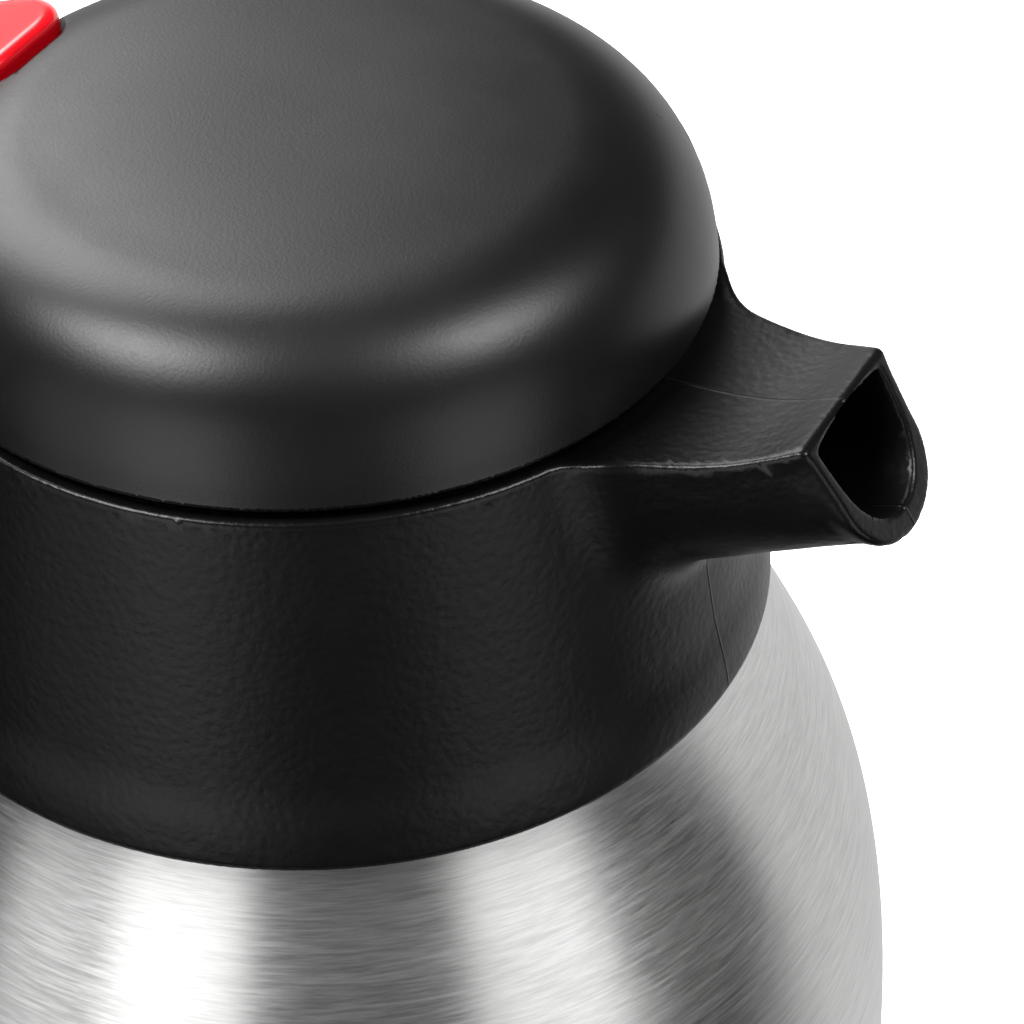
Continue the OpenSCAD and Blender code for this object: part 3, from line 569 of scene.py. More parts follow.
def steelPieces():
    wall = flask["wall"]
    hem = flask["footRadius"] - 2.15
    outside = np.vstack([[[hem, 4.4], [hem, 7.6], [hem + 0.6, 8.6]], bodySide(),
                         [[flask["shoulderRadius"] - 2, collarZ]], shoulderSide()])
    turned("steelBody", np.vstack([outside, inward(outside, wall)[::-1]]), "brushed_body", "flask",
           ["outer_shell"], 320)
    gap = wall + flask["vacuum"]
    rise = inward(bodySide(), gap)
    rise = rise[(rise[:, 1] > flask["innerFloor"] + 21.5) & (rise[:, 1] < collarZ - gap / 2)]
    corner = rise[0, 0]
    floor = curve([corner - 21.5, flask["innerFloor"]], [corner - 7.7, flask["innerFloor"]],
                  [corner - 1, flask["innerFloor"] + 5.8], rise[0], 16)
    r, z = rise[-1]
    narrow = flask["neckRadius"] - gap
    neck = curve([r - 0.2, z + 1.4], [r - 1.2, collarZ + 2.3], [narrow, collarZ - 0.5],
                 [narrow, collarZ + 7])
    neck = np.vstack([neck, [[narrow, flask["lipZ"] - 0.7]]])
    inside = np.vstack([[[flask["pole"], flask["innerFloor"]]], floor, rise[1:], neck])
    lip = flask["neckRadius"] + 0.3
    top = [[neck[-1, 0], flask["lipZ"] - 0.7], [lip, flask["lipZ"] - 0.7], [lip, flask["lipZ"] - 0.1],
           [lip - 0.2, flask["lipZ"]], [neck[-1, 0] - wall + 0.5, flask["lipZ"]],
           [neck[-1, 0] - wall, flask["lipZ"] - 0.5]]
    outline = np.vstack([inside[:-1], top, inward(inside, wall)[::-1][1:]])
    turned("innerFlask", outline, "inner_steel", "flask", ["inner_flask"], 192)


steelPieces()


def footPieces():
    r, pole = flask["footRadius"], flask["pole"]
    cover = rounded([[pole, 2], [54.3, 2], [54.3, 0.8], [r - 2.6, 0.8], [r, 2.9], [r, 8.5], [r - 2, 8.5],
                     [r - 2, 4.3], [r - 4.4, 4.2], [r - 6, 4], [pole, 4]],
                     [0, 0.2, 0.3, 1.2, 1.6, 0.5, 0.3, 0.3, 0.5, 0.5, 0])
    turned("footCover", cover, "black_plastic", "flask", ["base_cover"], 256)
    grooves = []
    for radius in (50.0, 46.5, 43.0):  # shallow rings moulded in the pad's underside
        grooves += [[radius, 0], [radius - 0.5, 0.5], [radius - 1.3, 0.5], [radius - 1.8, 0]]
    pad = [[54, 2], [54, 0.7], [53.3, 0]] + grooves + [[24, 0], [23, 0.8], [pole, 0.8], [pole, 2]]
    turned("footPad", rounded(pad, 0.25, 2), "foot_rubber", "flask", ["base_pad"], 256)


footPieces()

# Handle: two halves that meet on one line, from the collar's boss to the steel bracket

grip = {"x": 112, "topZ": 171, "lowZ": 66, "endX": 75.2, "bossX": 62, "startZ": 166, "halfWidth": 13,
        "inner": 9, "outer": 5, "taper": 1.5, "seam": 0.12, "screwX": 84.2, "screwHead": 3.35,
        "screwHole": 1.9, "screwSeat": 64, "tongueX": 90.35, "tongueHalf": 6.15, "tongueZ": (67.35, 70.05)}


def gripLine():
    x, top, low, end = grip["x"], grip["topZ"], grip["lowZ"], grip["endX"]
    parts = [[[-grip["bossX"], grip["startZ"]]],
             curve([-grip["bossX"] - 3, grip["startZ"]], [-grip["bossX"] - 24, grip["startZ"] + 6],
                   [-x, top + 3], [-x, top - 34], 40),
             curve([-x, top - 39], [-x, low + 52], [-x + 1, low + 34], [-x + 4, low + 20], 20),
             curve([-x + 6, low + 14], [-x + 10, low + 3], [-end - 16, low], [-end - 3, low], 30),
             [[-end, low]]]
    line = np.vstack(parts)
    for _ in range(2):  # the joints between the curves are evened out
        line[1:-1] = (line[:-2] + 2 * line[1:-1] + line[2:]) / 4
    return line


def gripSection():  # seen along the handle: half the width against the offset from the meeting line
    a = np.linspace(0, math.pi / 2, 24)
    side = grip["halfWidth"] * np.cos(a) ** 0.55
    outer = np.stack([side, grip["outer"] * np.sin(a) ** 0.7], 1)
    inner = np.stack([side, -grip["inner"] * np.sin(a) ** 0.7], 1)
    half = np.vstack([inner[::-1][:-1], outer])
    return Outline(np.vstack([half, (half * [-1, 1])[::-1][1:-1]]), 0.12)


section = gripSection()
track = Track(gripLine())


def gripSolid(x, y, z):
    share, offset = track(x, z)
    wide = grip["halfWidth"] / (grip["halfWidth"] - grip["taper"] * share)
    deep = np.where(offset < 0, grip["inner"] / (grip["inner"] - grip["taper"] * share), 1)
    bar = section(np.abs(y) * wide, offset * deep)
    ends = np.where(z > 120, x + grip["bossX"], x + grip["endX"])
    return common(bar, ends, 0.6), offset


def handleInner(x, y, z):
    bar, offset = gripSolid(x, y, z)
    bar = common(bar, offset + grip["seam"], 0.5)
    half, (low, high) = grip["tongueHalf"], grip["tongueZ"]
    tongue = np.maximum(plate(y, z, (-half, low), (half, high), 0.2), -x - grip["tongueX"])
    screw = np.maximum(disc(x, y, (-grip["screwX"], 0), grip["screwHole"]), slab(z, 60, 74))
    return cut(cut(bar, tongue, 0.2), screw, 0.2)


def handleCover(x, y, z):
    bar, offset = gripSolid(x, y, z)
    bar = common(bar, grip["seam"] - offset, 0.5)
    head = np.maximum(disc(x, y, (-grip["screwX"], 0), grip["screwHead"]), slab(z, 50, grip["screwSeat"]))
    screw = np.maximum(disc(x, y, (-grip["screwX"], 0), grip["screwHole"]), slab(z, 50, 70))
    return cut(cut(bar, head, 0.4), screw, 0.2)


put(carved("handleInner", handleInner, (-115, -14.5, 60), (-60, 14.5, 176), 0.55), "handleInner",
    "black_plastic", "flask", "handle_inner")
put(carved("handleCover", handleCover, (-119, -14.5, 58), (-60, 14.5, 178), 0.55), "handleCover",
    "black_plastic", "flask", "handle_cover")

# Collar: a turned ring with the spout, the handle's boss and the hinge lugs run into it

spout = {"tipX": 66.5, "tipRise": 3.2, "lean": 33, "mouth": 16.6, "rootX": 50.0, "rootDrop": 1.4,
         "rootHeight": 20.7, "startX": 40, "lip": 0.5, "edge": 0.8}
channelForm = {"rootX": 43.2, "rootRise": 14.6, "tipReach": 0.54, "tipRise": 2.36, "rootHeight": 14.2,
               "tipHeight": 13.2, "startX": 42, "edge": 0.7}
hinge = {"x": 54, "z": 190, "knuckle": 3.6, "pin": 1.55, "lugIn": 8.8, "lugOut": 14.4, "strutZ": 177.5,
         "strutLean": 0.16, "notchZ": 185, "notchX": 42}

spoutEnd = [[10.7, -4.0], [10.7, 0.0], [10.3, 1.2], [9.95, 3.0], [9.8, 5.0], [9.3, 8.0], [8.9, 10.6],
            [7.8, 12.8], [6.3, 14.6], [4.0, 15.9], [1.6, 16.5]]
spoutRoot = [[15.5, -4.0], [15.5, 0.0], [15.3, 3.0], [15.0, 7.0], [14.2, 11.0], [12.6, 14.6], [10.2, 17.4],
             [7.0, 19.4], [3.2, 20.5]]
channelEnd = [[8.3, 0.0], [8.1, 2.0], [7.7, 5.0], [7.1, 7.8], [6.0, 10.0], [4.4, 11.8], [2.2, 12.9]]
channelRoot = [[10.5, 0.0], [10.3, 3.0], [9.8, 6.5], [8.4, 9.6], [6.0, 12.2], [3.0, 13.8]]


def trough(half, deepest):  # a section that is closed above and round below, from half of its side
    half = np.array(half)
    across = np.vstack([half, [[0, deepest]]])
    whole = np.vstack([across, (across * [-1, 1])[::-1][1:]])
    smoothed = np.vstack([whole, whole[:1]])
    for _ in range(2):  # corner cutting, which rounds the section's sides
        a, b = smoothed[:-1], smoothed[1:]
        smoothed = np.stack([a * 0.75 + b * 0.25, a * 0.25 + b * 0.75], 1).reshape(-1, 2)
        smoothed = np.vstack([smoothed, smoothed[:1]])
    return Outline(smoothed[:-1], 0.1, 14)


spoutSections = (trough(spoutRoot, spout["rootHeight"]), trough(spoutEnd, spout["mouth"]))
channelSections = (trough(channelRoot, channelForm["rootHeight"]),
                   trough(channelEnd, channelForm["tipHeight"]))


def alongSpout(x, y, z, sections, root, end, heights):  # between two sections, the second of which leans
    lean = math.radians(spout["lean"])
    share, depth = np.clip((x - root[0]) / (end[0] - root[0]), 0, 1.3), 0.5
    for _ in range(4):
        span = heights[0] + (heights[1] * math.cos(lean) - heights[0]) * share
        depth = (root[1] + (end[1] - root[1]) * share - z) / span
        share = (x - root[0]) / (end[0] - root[0] + heights[1] * math.sin(lean) * np.clip(depth, -0.3, 1.3))
        share = np.clip(share, -0.4, 1.4)
    here, there = sections[0](np.abs(y), depth * heights[0]), sections[1](np.abs(y), depth * heights[1])
    return here + (there - here) * share


# the hollow line of the spout's top
spoutCut = {"z": 188.6, "half": 15.5, "fade": 24, "over": 1.2, "startX": 20}


def hollowLine():
    z, tip = spoutCut["z"], [spout["tipX"], rimZ + spout["tipRise"]]
    line = curve([spout["startX"], z], [58.2, z], [60.5, z + 2.2], tip, 160)
    return np.vstack([[[spoutCut["startX"], z]], line, [[tip[0] + 13.5, tip[1] + 7.3]]])


hollow = hollowLine()


def wallLine():
    c, step = collarForm, flask["shoulderRadius"]
    return curve([step + c["step"] - 0.3, collarZ + 2], [step - 1.6, collarZ + 0.36 * c["height"]],
                 [c["rimRadius"] + c["wall"], collarZ + 0.56 * c["height"]], [c["rimRadius"], rimZ - 1.4],
                 200)


innerSide = inward(wallLine(), collarForm["wall"])


def ringOutline():
    r, z, c = collarForm["rimRadius"], rimZ, collarForm
    band = wallLine()
    band[:, 0] += 0.5 * (1 - smooth(band[:, 1], collarZ + c["band"] - 3.5, collarZ + c["band"] + 2.5))
    rimTop = rounded([[r, z - 3], [r, z], [bowlRadius, z], [bowlRadius, z - 3]], [0, 0.9, 0.7, 0], 8)[9:-9]
    inner = innerSide[(innerSide[:, 1] > collarZ + 3) & (innerSide[:, 1] < z - 1.8)][::-1]
    step = flask["shoulderRadius"] - 1.85
    edge = [[step, collarZ + 3], [step, collarZ + 0.3], [step + 0.3, collarZ], [band[0, 0] - 1.0, collarZ],
            [band[0, 0] - 0.2, collarZ + 0.3], [band[0, 0] + 0.1, collarZ + 1]]
    return np.vstack([band, rimTop, inner, edge])


ring = Outline(ringOutline(), 0.12, 16)


def collarSolid(x, y, z):
    radius = np.sqrt(x * x + y * y)
    ringBody = ring(radius, z)
    within = radius - np.interp(z.ravel(), innerSide[:, 1], innerSide[:, 0]).reshape(z.shape)
    inside = np.maximum(within, collarZ - z)
    body = alongSpout(x, y, z, spoutSections, (spout["rootX"], rimZ - spout["rootDrop"]),
                      (spout["tipX"], rimZ + spout["tipRise"]), (spout["rootHeight"], spout["mouth"]))
    lean = math.radians(spout["lean"])
    end = (x - spout["tipX"]) * math.cos(lean) + (z - rimZ - spout["tipRise"]) * math.sin(lean)
    flare = spout["lip"] * smooth(end, -3.0, -0.6)
    body = common(body - flare * smooth(rimZ - z, 1, 7), end, spout["edge"])
    body = np.maximum(body, spout["startX"] - x)
    boss = np.maximum(section(np.abs(y), z - grip["startZ"]), slab(x, -grip["bossX"], -bowlRadius + 4))
    knuckle = disc(x, z, (-hinge["x"], hinge["z"]), hinge["knuckle"])
    strut = plate(x + (hinge["z"] - z) * hinge["strutLean"], z,
                  (-hinge["x"] - hinge["knuckle"], hinge["strutZ"]), (-bowlRadius + 2, hinge["z"]), 1.5)
    lugs = np.maximum(joined(knuckle, strut, 3.0), slab(np.abs(y), hinge["lugIn"], hinge["lugOut"]))
    extra = joined(joined(np.where(x > 0, body, 9.0), boss, 1.0), lugs + 0.4, 1.0)
    solid = joined(ringBody, cut(extra, inside, 0.3), np.where(x > 0, collarForm["fillet"], 3.0))
    dip = np.interp(x.ravel(), hollow[:, 0], hollow[:, 1]).reshape(x.shape)
    high, low, far = rimZ + spoutCut["over"], spoutCut["half"], spoutCut["fade"]
    top = np.where(x > spoutCut["startX"], high + (dip - high) * (1 - smooth(np.abs(y), low, far)), 300)
    solid = common(solid, z - top, 1.0)
    f = channelForm
    channel = alongSpout(x, y, z, channelSections, (f["rootX"], bowlZ + f["rootRise"]),
                         (spout["tipX"] + f["tipReach"], rimZ + f["tipRise"]),
                         (f["rootHeight"], f["tipHeight"]))
    solid = cut(solid, np.maximum(channel, f["startX"] - x), f["edge"])
    notch = np.maximum(np.abs(y) - hinge["lugIn"], np.maximum(hinge["notchZ"] - z, x + hinge["notchX"]))
    solid = cut(solid, notch, 0.5)
    pin = disc(x, z, (-hinge["x"], hinge["z"]), hinge["pin"])
    return cut(solid, pin, 0.2)


put(carved("collarShell", collarSolid, (-64, -57, 144), (78, 57, 196), 0.45, 0.03), "collarShell",
    "collar_plastic", "flask", "collar")


def neckRing():
    c = collarForm
    floor = bowlZ - c["floor"]
    wide = [float(np.interp(z, innerSide[:, 1], innerSide[:, 0])) - 0.15 for z in (floor, bowlZ)]
    outline = [[c["mouth"], floor], [c["sleeve"], floor], [c["sleeve"], floor - 8],
               [c["sleeve"] + 2, floor - 8], [c["sleeve"] + 2, floor], [wide[0], floor], [wide[1], bowlZ],
               [c["mouth"], bowlZ]]
    turned("neckRing", rounded(outline, [0.3, 0.2, 0.4, 0.4, 0.8, 0.3, 0.3, 0.8]), "black_plastic",
           "flask", ["neck_ring"], 192)


neckRing()

# Lid: the dome, with the thumb lever's slot

dome = {"radius": 47.1, "z": 188, "edgeZ": 190.8, "skirt": 44.7, "baseZ": 192, "height": 17.5, "wall": 2.2,
        "slotGap": 0.6, "slotEdge": 0.5, "slotZ": 197.5, "armHalf": 8.5, "armZ": (186, 193.6), "armX": 36}
lever = {"halfWidth": 11.4, "front": 35, "back": 56.5, "top": 209.5, "thick": 4.6, "corner": 8.5,
         "edge": 2.4, "pivotX": 30, "pivotZ": 197, "hub": 3.15, "hubWidth": 7, "pin": 1.3, "forkRadius": 6,
         "forkZ": 198.5, "armThick": 3}


def domeOutline():
    r, base, h, edgeZ, skirt = (dome[k] for k in ("radius", "baseZ", "height", "edgeZ", "skirt"))
    top = base + h
    side = curve([r - 0.1, base], [r - 0.8, base + 0.5 * h], [r - 5.6, base + 0.937 * h],
                 [r - 17, top - 0.6], 160)
    crown = curve([r - 20, top - 0.45], [r - 28, top], [12, top], [0.0, top], 80)
    line = np.vstack([[[r, edgeZ + 0.6]], side, crown])
    for _ in range(12):
        line[1:-1] = (line[:-2] + 2 * line[1:-1] + line[2:]) / 4
    inner = inward(line, dome["wall"])
    ledge = edgeZ + dome["wall"]
    inner = inner[(inner[:, 0] > 0.5) & (inner[:, 1] > ledge)]
    inner = np.vstack([[[skirt - dome["wall"], dome["z"]], [skirt - dome["wall"], ledge],
                        [inner[0, 0], ledge]], inner])
    outer = np.vstack([[[skirt - 0.5, dome["z"]], [skirt, dome["z"] + 0.5], [skirt, edgeZ],
                        [r - 0.5, edgeZ]], line])
    return Outline(np.vstack([outer, (outer * [-1, 1])[::-1][1:], inner * [-1, 1], inner[::-1]]), 0.12, 8)


domeShape = domeOutline()


def domeSolid(x, y, z):
    radius = np.sqrt(x * x + y * y)
    shell = domeShape(radius, z)
    g = dome["slotGap"]
    plan = plate(x, y, (-lever["back"] - 8, -lever["halfWidth"] - g),
                 (-lever["front"] + g, lever["halfWidth"] + g), lever["corner"] + g)
    shell = cut(shell, np.maximum(plan, dome["slotZ"] - z), dome["slotEdge"])
    arm = np.maximum(np.abs(y) - dome["armHalf"], np.maximum(slab(z, *dome["armZ"]), x + dome["armX"]))
    return cut(shell, arm, 0.3)


put(carved("lidDome", domeSolid, (-49, -49, 186.5), (49, 49, 211), 0.5, 0.02), "lidDome", "dome_plastic",
    "lid", "lid_dome")


def leverSide():
    front, back, top, thick = (lever[k] for k in ("front", "back", "top", "thick"))
    tail = top - 7
    above = curve([-front - 1.0, top], [-front - 6, top - 0.6], [-back + 8, top - 3.6],
                  [-back + 0.8, tail], 30)
    below = curve([-back + 0.4, tail - thick + 1.6], [-back + 8, tail - thick + 3.2],
                  [-front - 10, top - thick - 1.6], [-front - 4, top - thick - 1.8], 24)
    return Outline(np.vstack([[[-front, top - thick - 1.8], [-front, top - 0.8],
                               [-front - 0.4, top - 0.2]], above,
                              [[-back, tail - 0.8]], below]), 0.1)


padSide = leverSide()


def leverSolid(x, y, z):
    plan = plate(x, y, (-lever["back"], -lever["halfWidth"]), (-lever["front"], lever["halfWidth"]),
                 lever["corner"])
    pad = common(padSide(x, z), plan, lever["edge"])
    web = plate(x + (z - 205) * 0.55, z, (-39.5, 194.5), (-35.2, 205), 1.0)
    web = joined(web, disc(x, z, (-lever["pivotX"], lever["pivotZ"]), lever["hub"]), 2.0)
    web = np.maximum(web, np.abs(y) - lever["hubWidth"])
    arm = plate(x, z, (-lever["pivotX"], lever["forkZ"] - lever["armThick"]), (-4, lever["forkZ"]), 0.4)
    fork = np.maximum(disc(x, z, (0, lever["forkZ"] - lever["forkRadius"]), lever["forkRadius"]),
                      slab(z, lever["forkZ"] - lever["armThick"], 300))
    arm = np.maximum(np.minimum(arm, fork), np.abs(y) - lever["forkRadius"])
    solid = joined(joined(pad, web, 1.2), arm, 0.6)
    slot = np.maximum(np.abs(y) - 3, np.maximum(-3 - x, slab(z, 190, 206)))
    return cut(cut(solid, slot, 0.3), disc(x, z, (-lever["pivotX"], lever["pivotZ"]), lever["pin"]), 0.2)


put(carved("thumbLever", leverSolid, (-58, -13, 191), (8, 13, 211), 0.35), "thumbLever", "red_plastic",
    "lever", "pour_lever")

# Stopper: the cup and its ring are turned

stopper = {"radius": 30, "low": 27, "seat": 14, "seatZ": 157, "flange": 36.5, "sealIn": 32, "wall": 2}


def stopperPieces():
    r, low, z, t = stopper["radius"], stopper["low"], stopper["seatZ"], stopper["wall"]
    flangeZ = bowlZ + 2.5
    cup = [[stopper["seat"], z - t], [low, z - t], [r, bowlZ], [stopper["sealIn"], bowlZ],
           [stopper["sealIn"], flangeZ], [stopper["flange"], flangeZ], [stopper["flange"], flangeZ + 1.7],
           [r - t, flangeZ + 1.7], [r - t, bowlZ], [low - t, z], [stopper["seat"], z]]
    turned("stopperCup", rounded(cup, [0.3, 1.6, 1, 0.3, 0.1, 0.3, 0.7, 0.1, 1, 1.2, 0.3]),
           "black_plastic", "lid", ["stopper_housing"], 160)
    ringLine = [[stopper["sealIn"], bowlZ], [stopper["flange"] - 0.6, bowlZ],
                [stopper["flange"] - 0.9, bowlZ + 0.9], [stopper["flange"], bowlZ + 1.4],
                [stopper["flange"], flangeZ], [stopper["sealIn"], flangeZ]]
    turned("stopperRing", rounded(ringLine, [0.1, 0.4, 0.3, 0.4, 0.3, 0.1]), "seal_rubber", "lid",
           ["stopper_gasket"], 160)


stopperPieces()

# Screws: one tree makes a pan head with a crossed recess, and sets it at every place

screws = {
    "lidScrews": {"node": "lid_screws", "body": "lid", "radius": 1.3, "length": 9.5, "head": 2.6,
                  "height": 1.8, "turn": 0,
                  "places": [(38.15 * math.cos(a), 38.15 * math.sin(a), 188) for a in (0, math.tau / 3,
                                                                                       2 * math.tau / 3)]},
    "bracketScrew": {"node": "bracket_screw", "body": "flask", "radius": 1.8, "length": 8.5, "head": 3.2,
                     "height": 2, "turn": 0,
                     "places": [(-84.2, 0, 64)]},
    "handleScrews": {"node": "handle_screws", "body": "flask", "radius": 1.8, "length": 23, "head": 3.2,
                     "height": 2.3,
                     "turn": -math.pi / 2, "places": [(-47.9, -5.98, 161), (-47.9, 5.98, 161)]},
}


def screwTree():
    t, given = startGroup("screw", Places="Geometry", Radius="Float", Length="Float", Head="Float",
                          Height="Float",
                          Turn="Float", Finish="Material")
    places, radius, length, head, height, turn, finish = given

    def moved(shape, z):
        return t.node("GeometryNodeTransform", {}, {"Geometry": shape, "Translation": t.vector(0, 0, z)})

    def cone(sides, low, high, depth):
        sizes = {"Vertices": sides, "Radius Bottom": low, "Radius Top": high, "Depth": depth}
        return t.node("GeometryNodeMeshCone", {}, sizes)

    shank = cone(32, radius, radius * 0.8, length)
    crown = cone(64, head * 0.72, head, height * 0.45)
    rim = t.node("GeometryNodeMeshCylinder", {}, {"Vertices": 64, "Radius": head, "Depth": height * 0.55})
    slots = [moved(t.node("GeometryNodeMeshCube", {}, {"Size": t.vector(*size)}), height * -1.0)
             for size in ((head * 1.15, head * 0.24, height * 1.1),
                          (head * 0.24, head * 1.15, height * 1.1))]
    halves = [moved(crown, height * -0.775), moved(rim, height * -0.275)]
    pan = t.node("GeometryNodeMeshBoolean", {"operation": "UNION"}, {"Mesh 2": halves})
    for slot in slots:
        pan = t.node("GeometryNodeMeshBoolean", {"operation": "DIFFERENCE"},
                     {"Mesh 1": pan, "Mesh 2": slot})
    whole = t.node("GeometryNodeJoinGeometry", {}, {"Geometry": [pan, shank]})
    points = t.node("GeometryNodeMeshToPoints", {}, {"Mesh": places})
    spread = {"Points": points, "Instance": whole, "Rotation": t.vector(0, turn, 0)}
    return endGroup(t, t.node("GeometryNodeInstanceOnPoints", {}, spread), finish)


screwNodes = screwTree()
for name, screw in screws.items():
    mesh = bpy.data.meshes.new(name)
    mesh.from_pydata([Vector(p) * mm for p in screw["places"]], [], [])
    piece = linked(name, mesh)
    sizes = {key.title(): screw[key] * mm for key in ("radius", "length", "head", "height")}
    bakedMesh(piece, screwNodes, {**sizes, "Turn": float(screw["turn"]), "Finish": finishes["pin_steel"]})
    put(piece, name, "pin_steel", screw["body"], screw["node"])
    print(name, "has", len(piece.data.polygons), "faces")

# Valve spring: a wound wire

spring = {"turns": 7, "wire": 0.45, "coil": 5.4, "steps": 40, "sides": 12}


def springTree():
    t, given = startGroup("spring", Carrier="Geometry", Turns="Float", Coil="Float", Wire="Float",
                          Height="Float",
                          Base="Float", Finish="Material")
    turns, coil, wire, height, base, finish = given[1:]
    course = {"Resolution": spring["steps"], "Rotations": turns, "Start Radius": coil, "End Radius": coil,
              "Height": height}
    helix = t.node("GeometryNodeCurveSpiral", {}, course)
    section = {"Resolution": spring["sides"], "Radius": wire}
    section = t.node("GeometryNodeCurvePrimitiveCircle", {"mode": "RADIUS"}, section)
    wound = t.node("GeometryNodeCurveToMesh", {}, {0: helix, "Profile Curve": section, "Fill Caps": True})
    raised = {"Geometry": wound, "Translation": t.vector(0, 0, base)}
    return endGroup(t, t.node("GeometryNodeTransform", {}, raised), finish)


def valveSpring():
    low, high = (corner[2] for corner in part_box("valve_spring"))
    joint = next(j for j in frame["record"]["behaviour"]["joints"] if j["name"] == "valve_lift")
    mesh = bpy.data.meshes.new("valveSpring")
    mesh.from_pydata([(0, 0, low)], [], [])
    piece = linked("valveSpring", mesh)
    wire = spring["wire"] * mm
    sizes = {"Turns": float(spring["turns"]), "Coil": spring["coil"] * mm, "Wire": wire}
    bakedMesh(piece, springTree(), {**sizes, "Height": high - low - 2 * wire, "Base": low + wire,
                                    "Finish": finishes["pin_steel"]})
    put(piece, "valveSpring", "pin_steel", "lid", "valve_spring")
    1 - joint["range_m"][1] / (high - low)
    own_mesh(piece)
    print("valveSpring wound with", len(piece.data.polygons), "faces")


valveSpring()

# Moulded and pressed pieces whose solid is right get softened edges


def softened(node, name, slot, body, width):
    work = bmesh.new()
    work.from_mesh(frame["nodes"][node].data)
    bmesh.ops.remove_doubles(work, verts=work.verts, dist=2e-6)
    bmesh.ops.dissolve_degenerate(work, edges=work.edges, dist=1e-6)
    bmesh.ops.dissolve_limit(work, angle_limit=math.radians(0.5), verts=work.verts, edges=work.edges)
    bmesh.ops.recalc_face_normals(work, faces=work.faces)
    mesh = bpy.data.meshes.new(name)
    work.to_mesh(mesh)
    work.free()
    piece = linked(name, mesh)
    bevel = piece.modifiers.new("edges", "BEVEL")
    bevel.limit_method, bevel.angle_limit = "ANGLE", math.radians(40)
    bevel.width, bevel.segments = width * mm, 2
    bpy.context.view_layer.update()
    ready = bpy.data.meshes.new_from_object(piece.evaluated_get(bpy.context.evaluated_depsgraph_get()))
    piece.modifiers.clear()
    piece.data = ready
    bpy.data.meshes.remove(mesh)
    ready.polygons.foreach_set("use_smooth", [True] * len(ready.polygons))
    ready.set_sharp_from_angle(angle=math.radians(32))
    put(piece, name, slot, body, node)
    print(name, "softened,", len(ready.polygons), "faces")


for values in (("lid_liner", "linerPlate", "black_plastic", "lid", 0.35),
               ("stopper_cage", "stopperCage", "black_plastic", "lid", 0.3),
               ("handle_bracket", "gripBracket", "pin_steel", "flask", 0.25),
               ("hinge_pin", "hingePin", "pin_steel", "flask", 0.3),
               ("lever_pin", "leverPin", "pin_steel", "lid", 0.25),
               ("stem_clip", "stemClip", "pin_steel", "valve", 0.3),
               ("valve_stem", "valveStem", "pin_steel", "valve", 0.3),
               ("valve_disc", "valveDisc", "black_plastic", "valve", 0.4)):
    softened(*values)

# Solids whose shape is right keep it, and get their finish

kept = {"shell_bottom": "inner_steel", "getter": "getter_metal", "neck_gasket": "seal_rubber",
        "valve_seal": "seal_rubber"}
for node, slot in kept.items():
    data = frame["nodes"][node].data
    data.materials.clear()
    data.materials.append(finishes[slot])

# Floor and studio light


paperForm = {"radius": 1.8, "mirrorReach": (0.30, 0.40), "litTowards": (0.34, 0.94), "litFrom": (0.5, 0.85),
             "mirror": (0.03, 0.85), "grey": 0.5, "white": 0.98, "glow": 0.6}


def addFloor():
    form = paperForm
    work = bmesh.new()
    bmesh.ops.create_circle(work, cap_ends=True, segments=128, radius=form["radius"])
    mesh = bpy.data.meshes.new("floor")
    work.to_mesh(mesh)
    work.free()
    floor = linked("floor", mesh)
    material = bpy.data.materials.new("floorPaper")
    material.use_nodes = True
    t = Tree(material.node_tree)
    t.nodes.nodes.clear()
    x, y, z = t.parts(t.node("ShaderNodeTexCoord", out=3))
    radius = (x * x + y * y + 1e-6) ** 0.5
    far = radius.fade(*form["mirrorReach"])
    side = ((x * form["litTowards"][0] + y * form["litTowards"][1]) / radius).fade(*form["litFrom"],
                                                                                   *form["mirror"])
    light = t.node("ShaderNodeLightPath").socket.node.outputs
    seen, glossy = Wire(t, light["Is Camera Ray"]), Wire(t, light["Is Glossy Ray"])
    paper = t.mix(seen, (form["grey"],) * 3, (form["white"],) * 3)
    paper = t.node("ShaderNodeBsdfDiffuse", {}, {"Color": t.mix(glossy, paper, (0.0, 0.0, 0.0))})
    glow = t.node("ShaderNodeEmission", {},
                  {"Color": (1, 1, 1, 1), "Strength": seen * form["glow"] + glossy * side})
    both = t.node("ShaderNodeAddShader", {}, {0: paper, 1: glow})
    clear = t.node("ShaderNodeBsdfTransparent")
    t.node("ShaderNodeOutputMaterial", {},
           {0: t.node("ShaderNodeMixShader", {}, {0: glossy * far, 1: both, 2: clear})})
    mesh.materials.append(material)


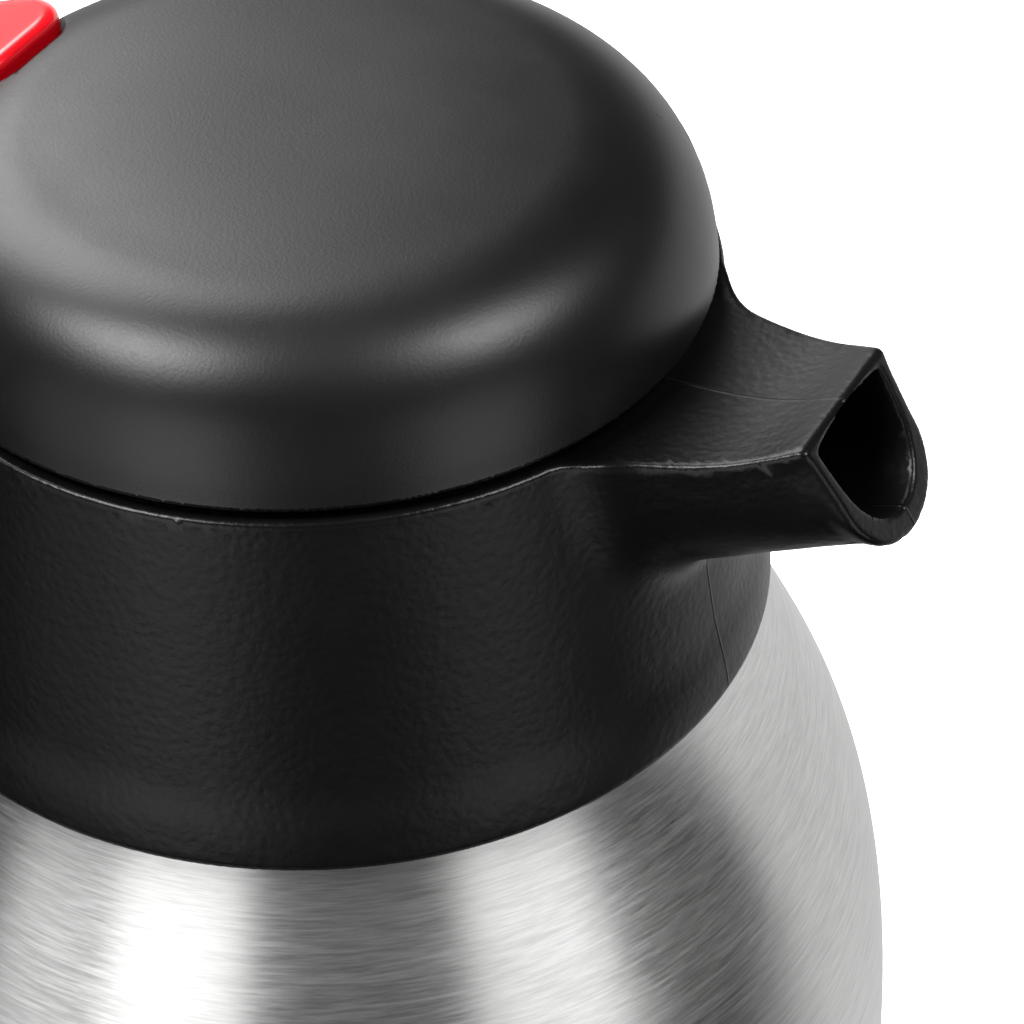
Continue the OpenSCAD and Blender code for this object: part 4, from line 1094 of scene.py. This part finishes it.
studio = {"boxes": [  # azimuth, half width, lowest and highest elevation, softness of both, strength
    (-123, 10, -50, 18, 2, 6, 0.85),
    (-94, 15, -50, 22, 3, 8, 2.1),
    (-57, 20, -50, 14, 4, 8, 0.15),
    (-17, 15, -50, 18, 4, 8, 1.6),
    (80, 44, -70, 6, 7, 8, 0.85),
    (150, 32, -50, 20, 10, 12, 0.5),
    (150, 22, 24, 62, 6, 6, 8.5),
    (-131, 24, 46, 68, 12, 7, 21.0),
    (12, 18, 44, 64, 10, 7, 16.0),
], "ground": 0.03, "sky": 0.07}


def addWorld():
    world = bpy.data.worlds.new("studio")
    world.use_nodes = True
    bpy.context.scene.world = world
    t = Tree(world.node_tree)
    t.nodes.nodes.clear()
    x, y, z = t.parts(t.node("ShaderNodeTexCoord"))
    flat = (x * x + y * y + 1e-6) ** 0.5
    rise = z.math("ARCTAN2", flat) * math.degrees(1)

    def box(azimuth, half, low, high, softAz, softEl, strength):
        a = math.radians(azimuth)
        across = ((x * math.cos(a) + y * math.sin(a)) / flat).math("MINIMUM", 1).math("MAXIMUM", -1)
        turn = across.math("ARCCOSINE") * math.degrees(1)
        inPlan = turn.fade(half - softAz, half + softAz, 1.0, 0.0)
        inRise = rise.fade(low - softEl, low + softEl) * rise.fade(high - softEl, high + softEl, 1.0, 0.0)
        return inPlan * inRise * strength

    light = rise.fade(-60, 75, studio["ground"], studio["sky"]) + 0
    for values in studio["boxes"]:
        light = light + box(*values)
    lamp = t.node("ShaderNodeBackground", {}, {"Color": (1, 1, 1, 1), "Strength": light})
    white = t.node("ShaderNodeBackground", {}, {"Color": (1, 1, 1, 1), "Strength": 1.0})
    seen = Wire(t, t.node("ShaderNodeLightPath").socket.node.outputs["Is Camera Ray"])
    t.node("ShaderNodeOutputWorld", {},
           {0: t.node("ShaderNodeMixShader", {}, {0: seen, 1: lamp, 2: white})})


addFloor()
addWorld()
scene = bpy.context.scene
scene.view_settings.view_transform = "Standard"
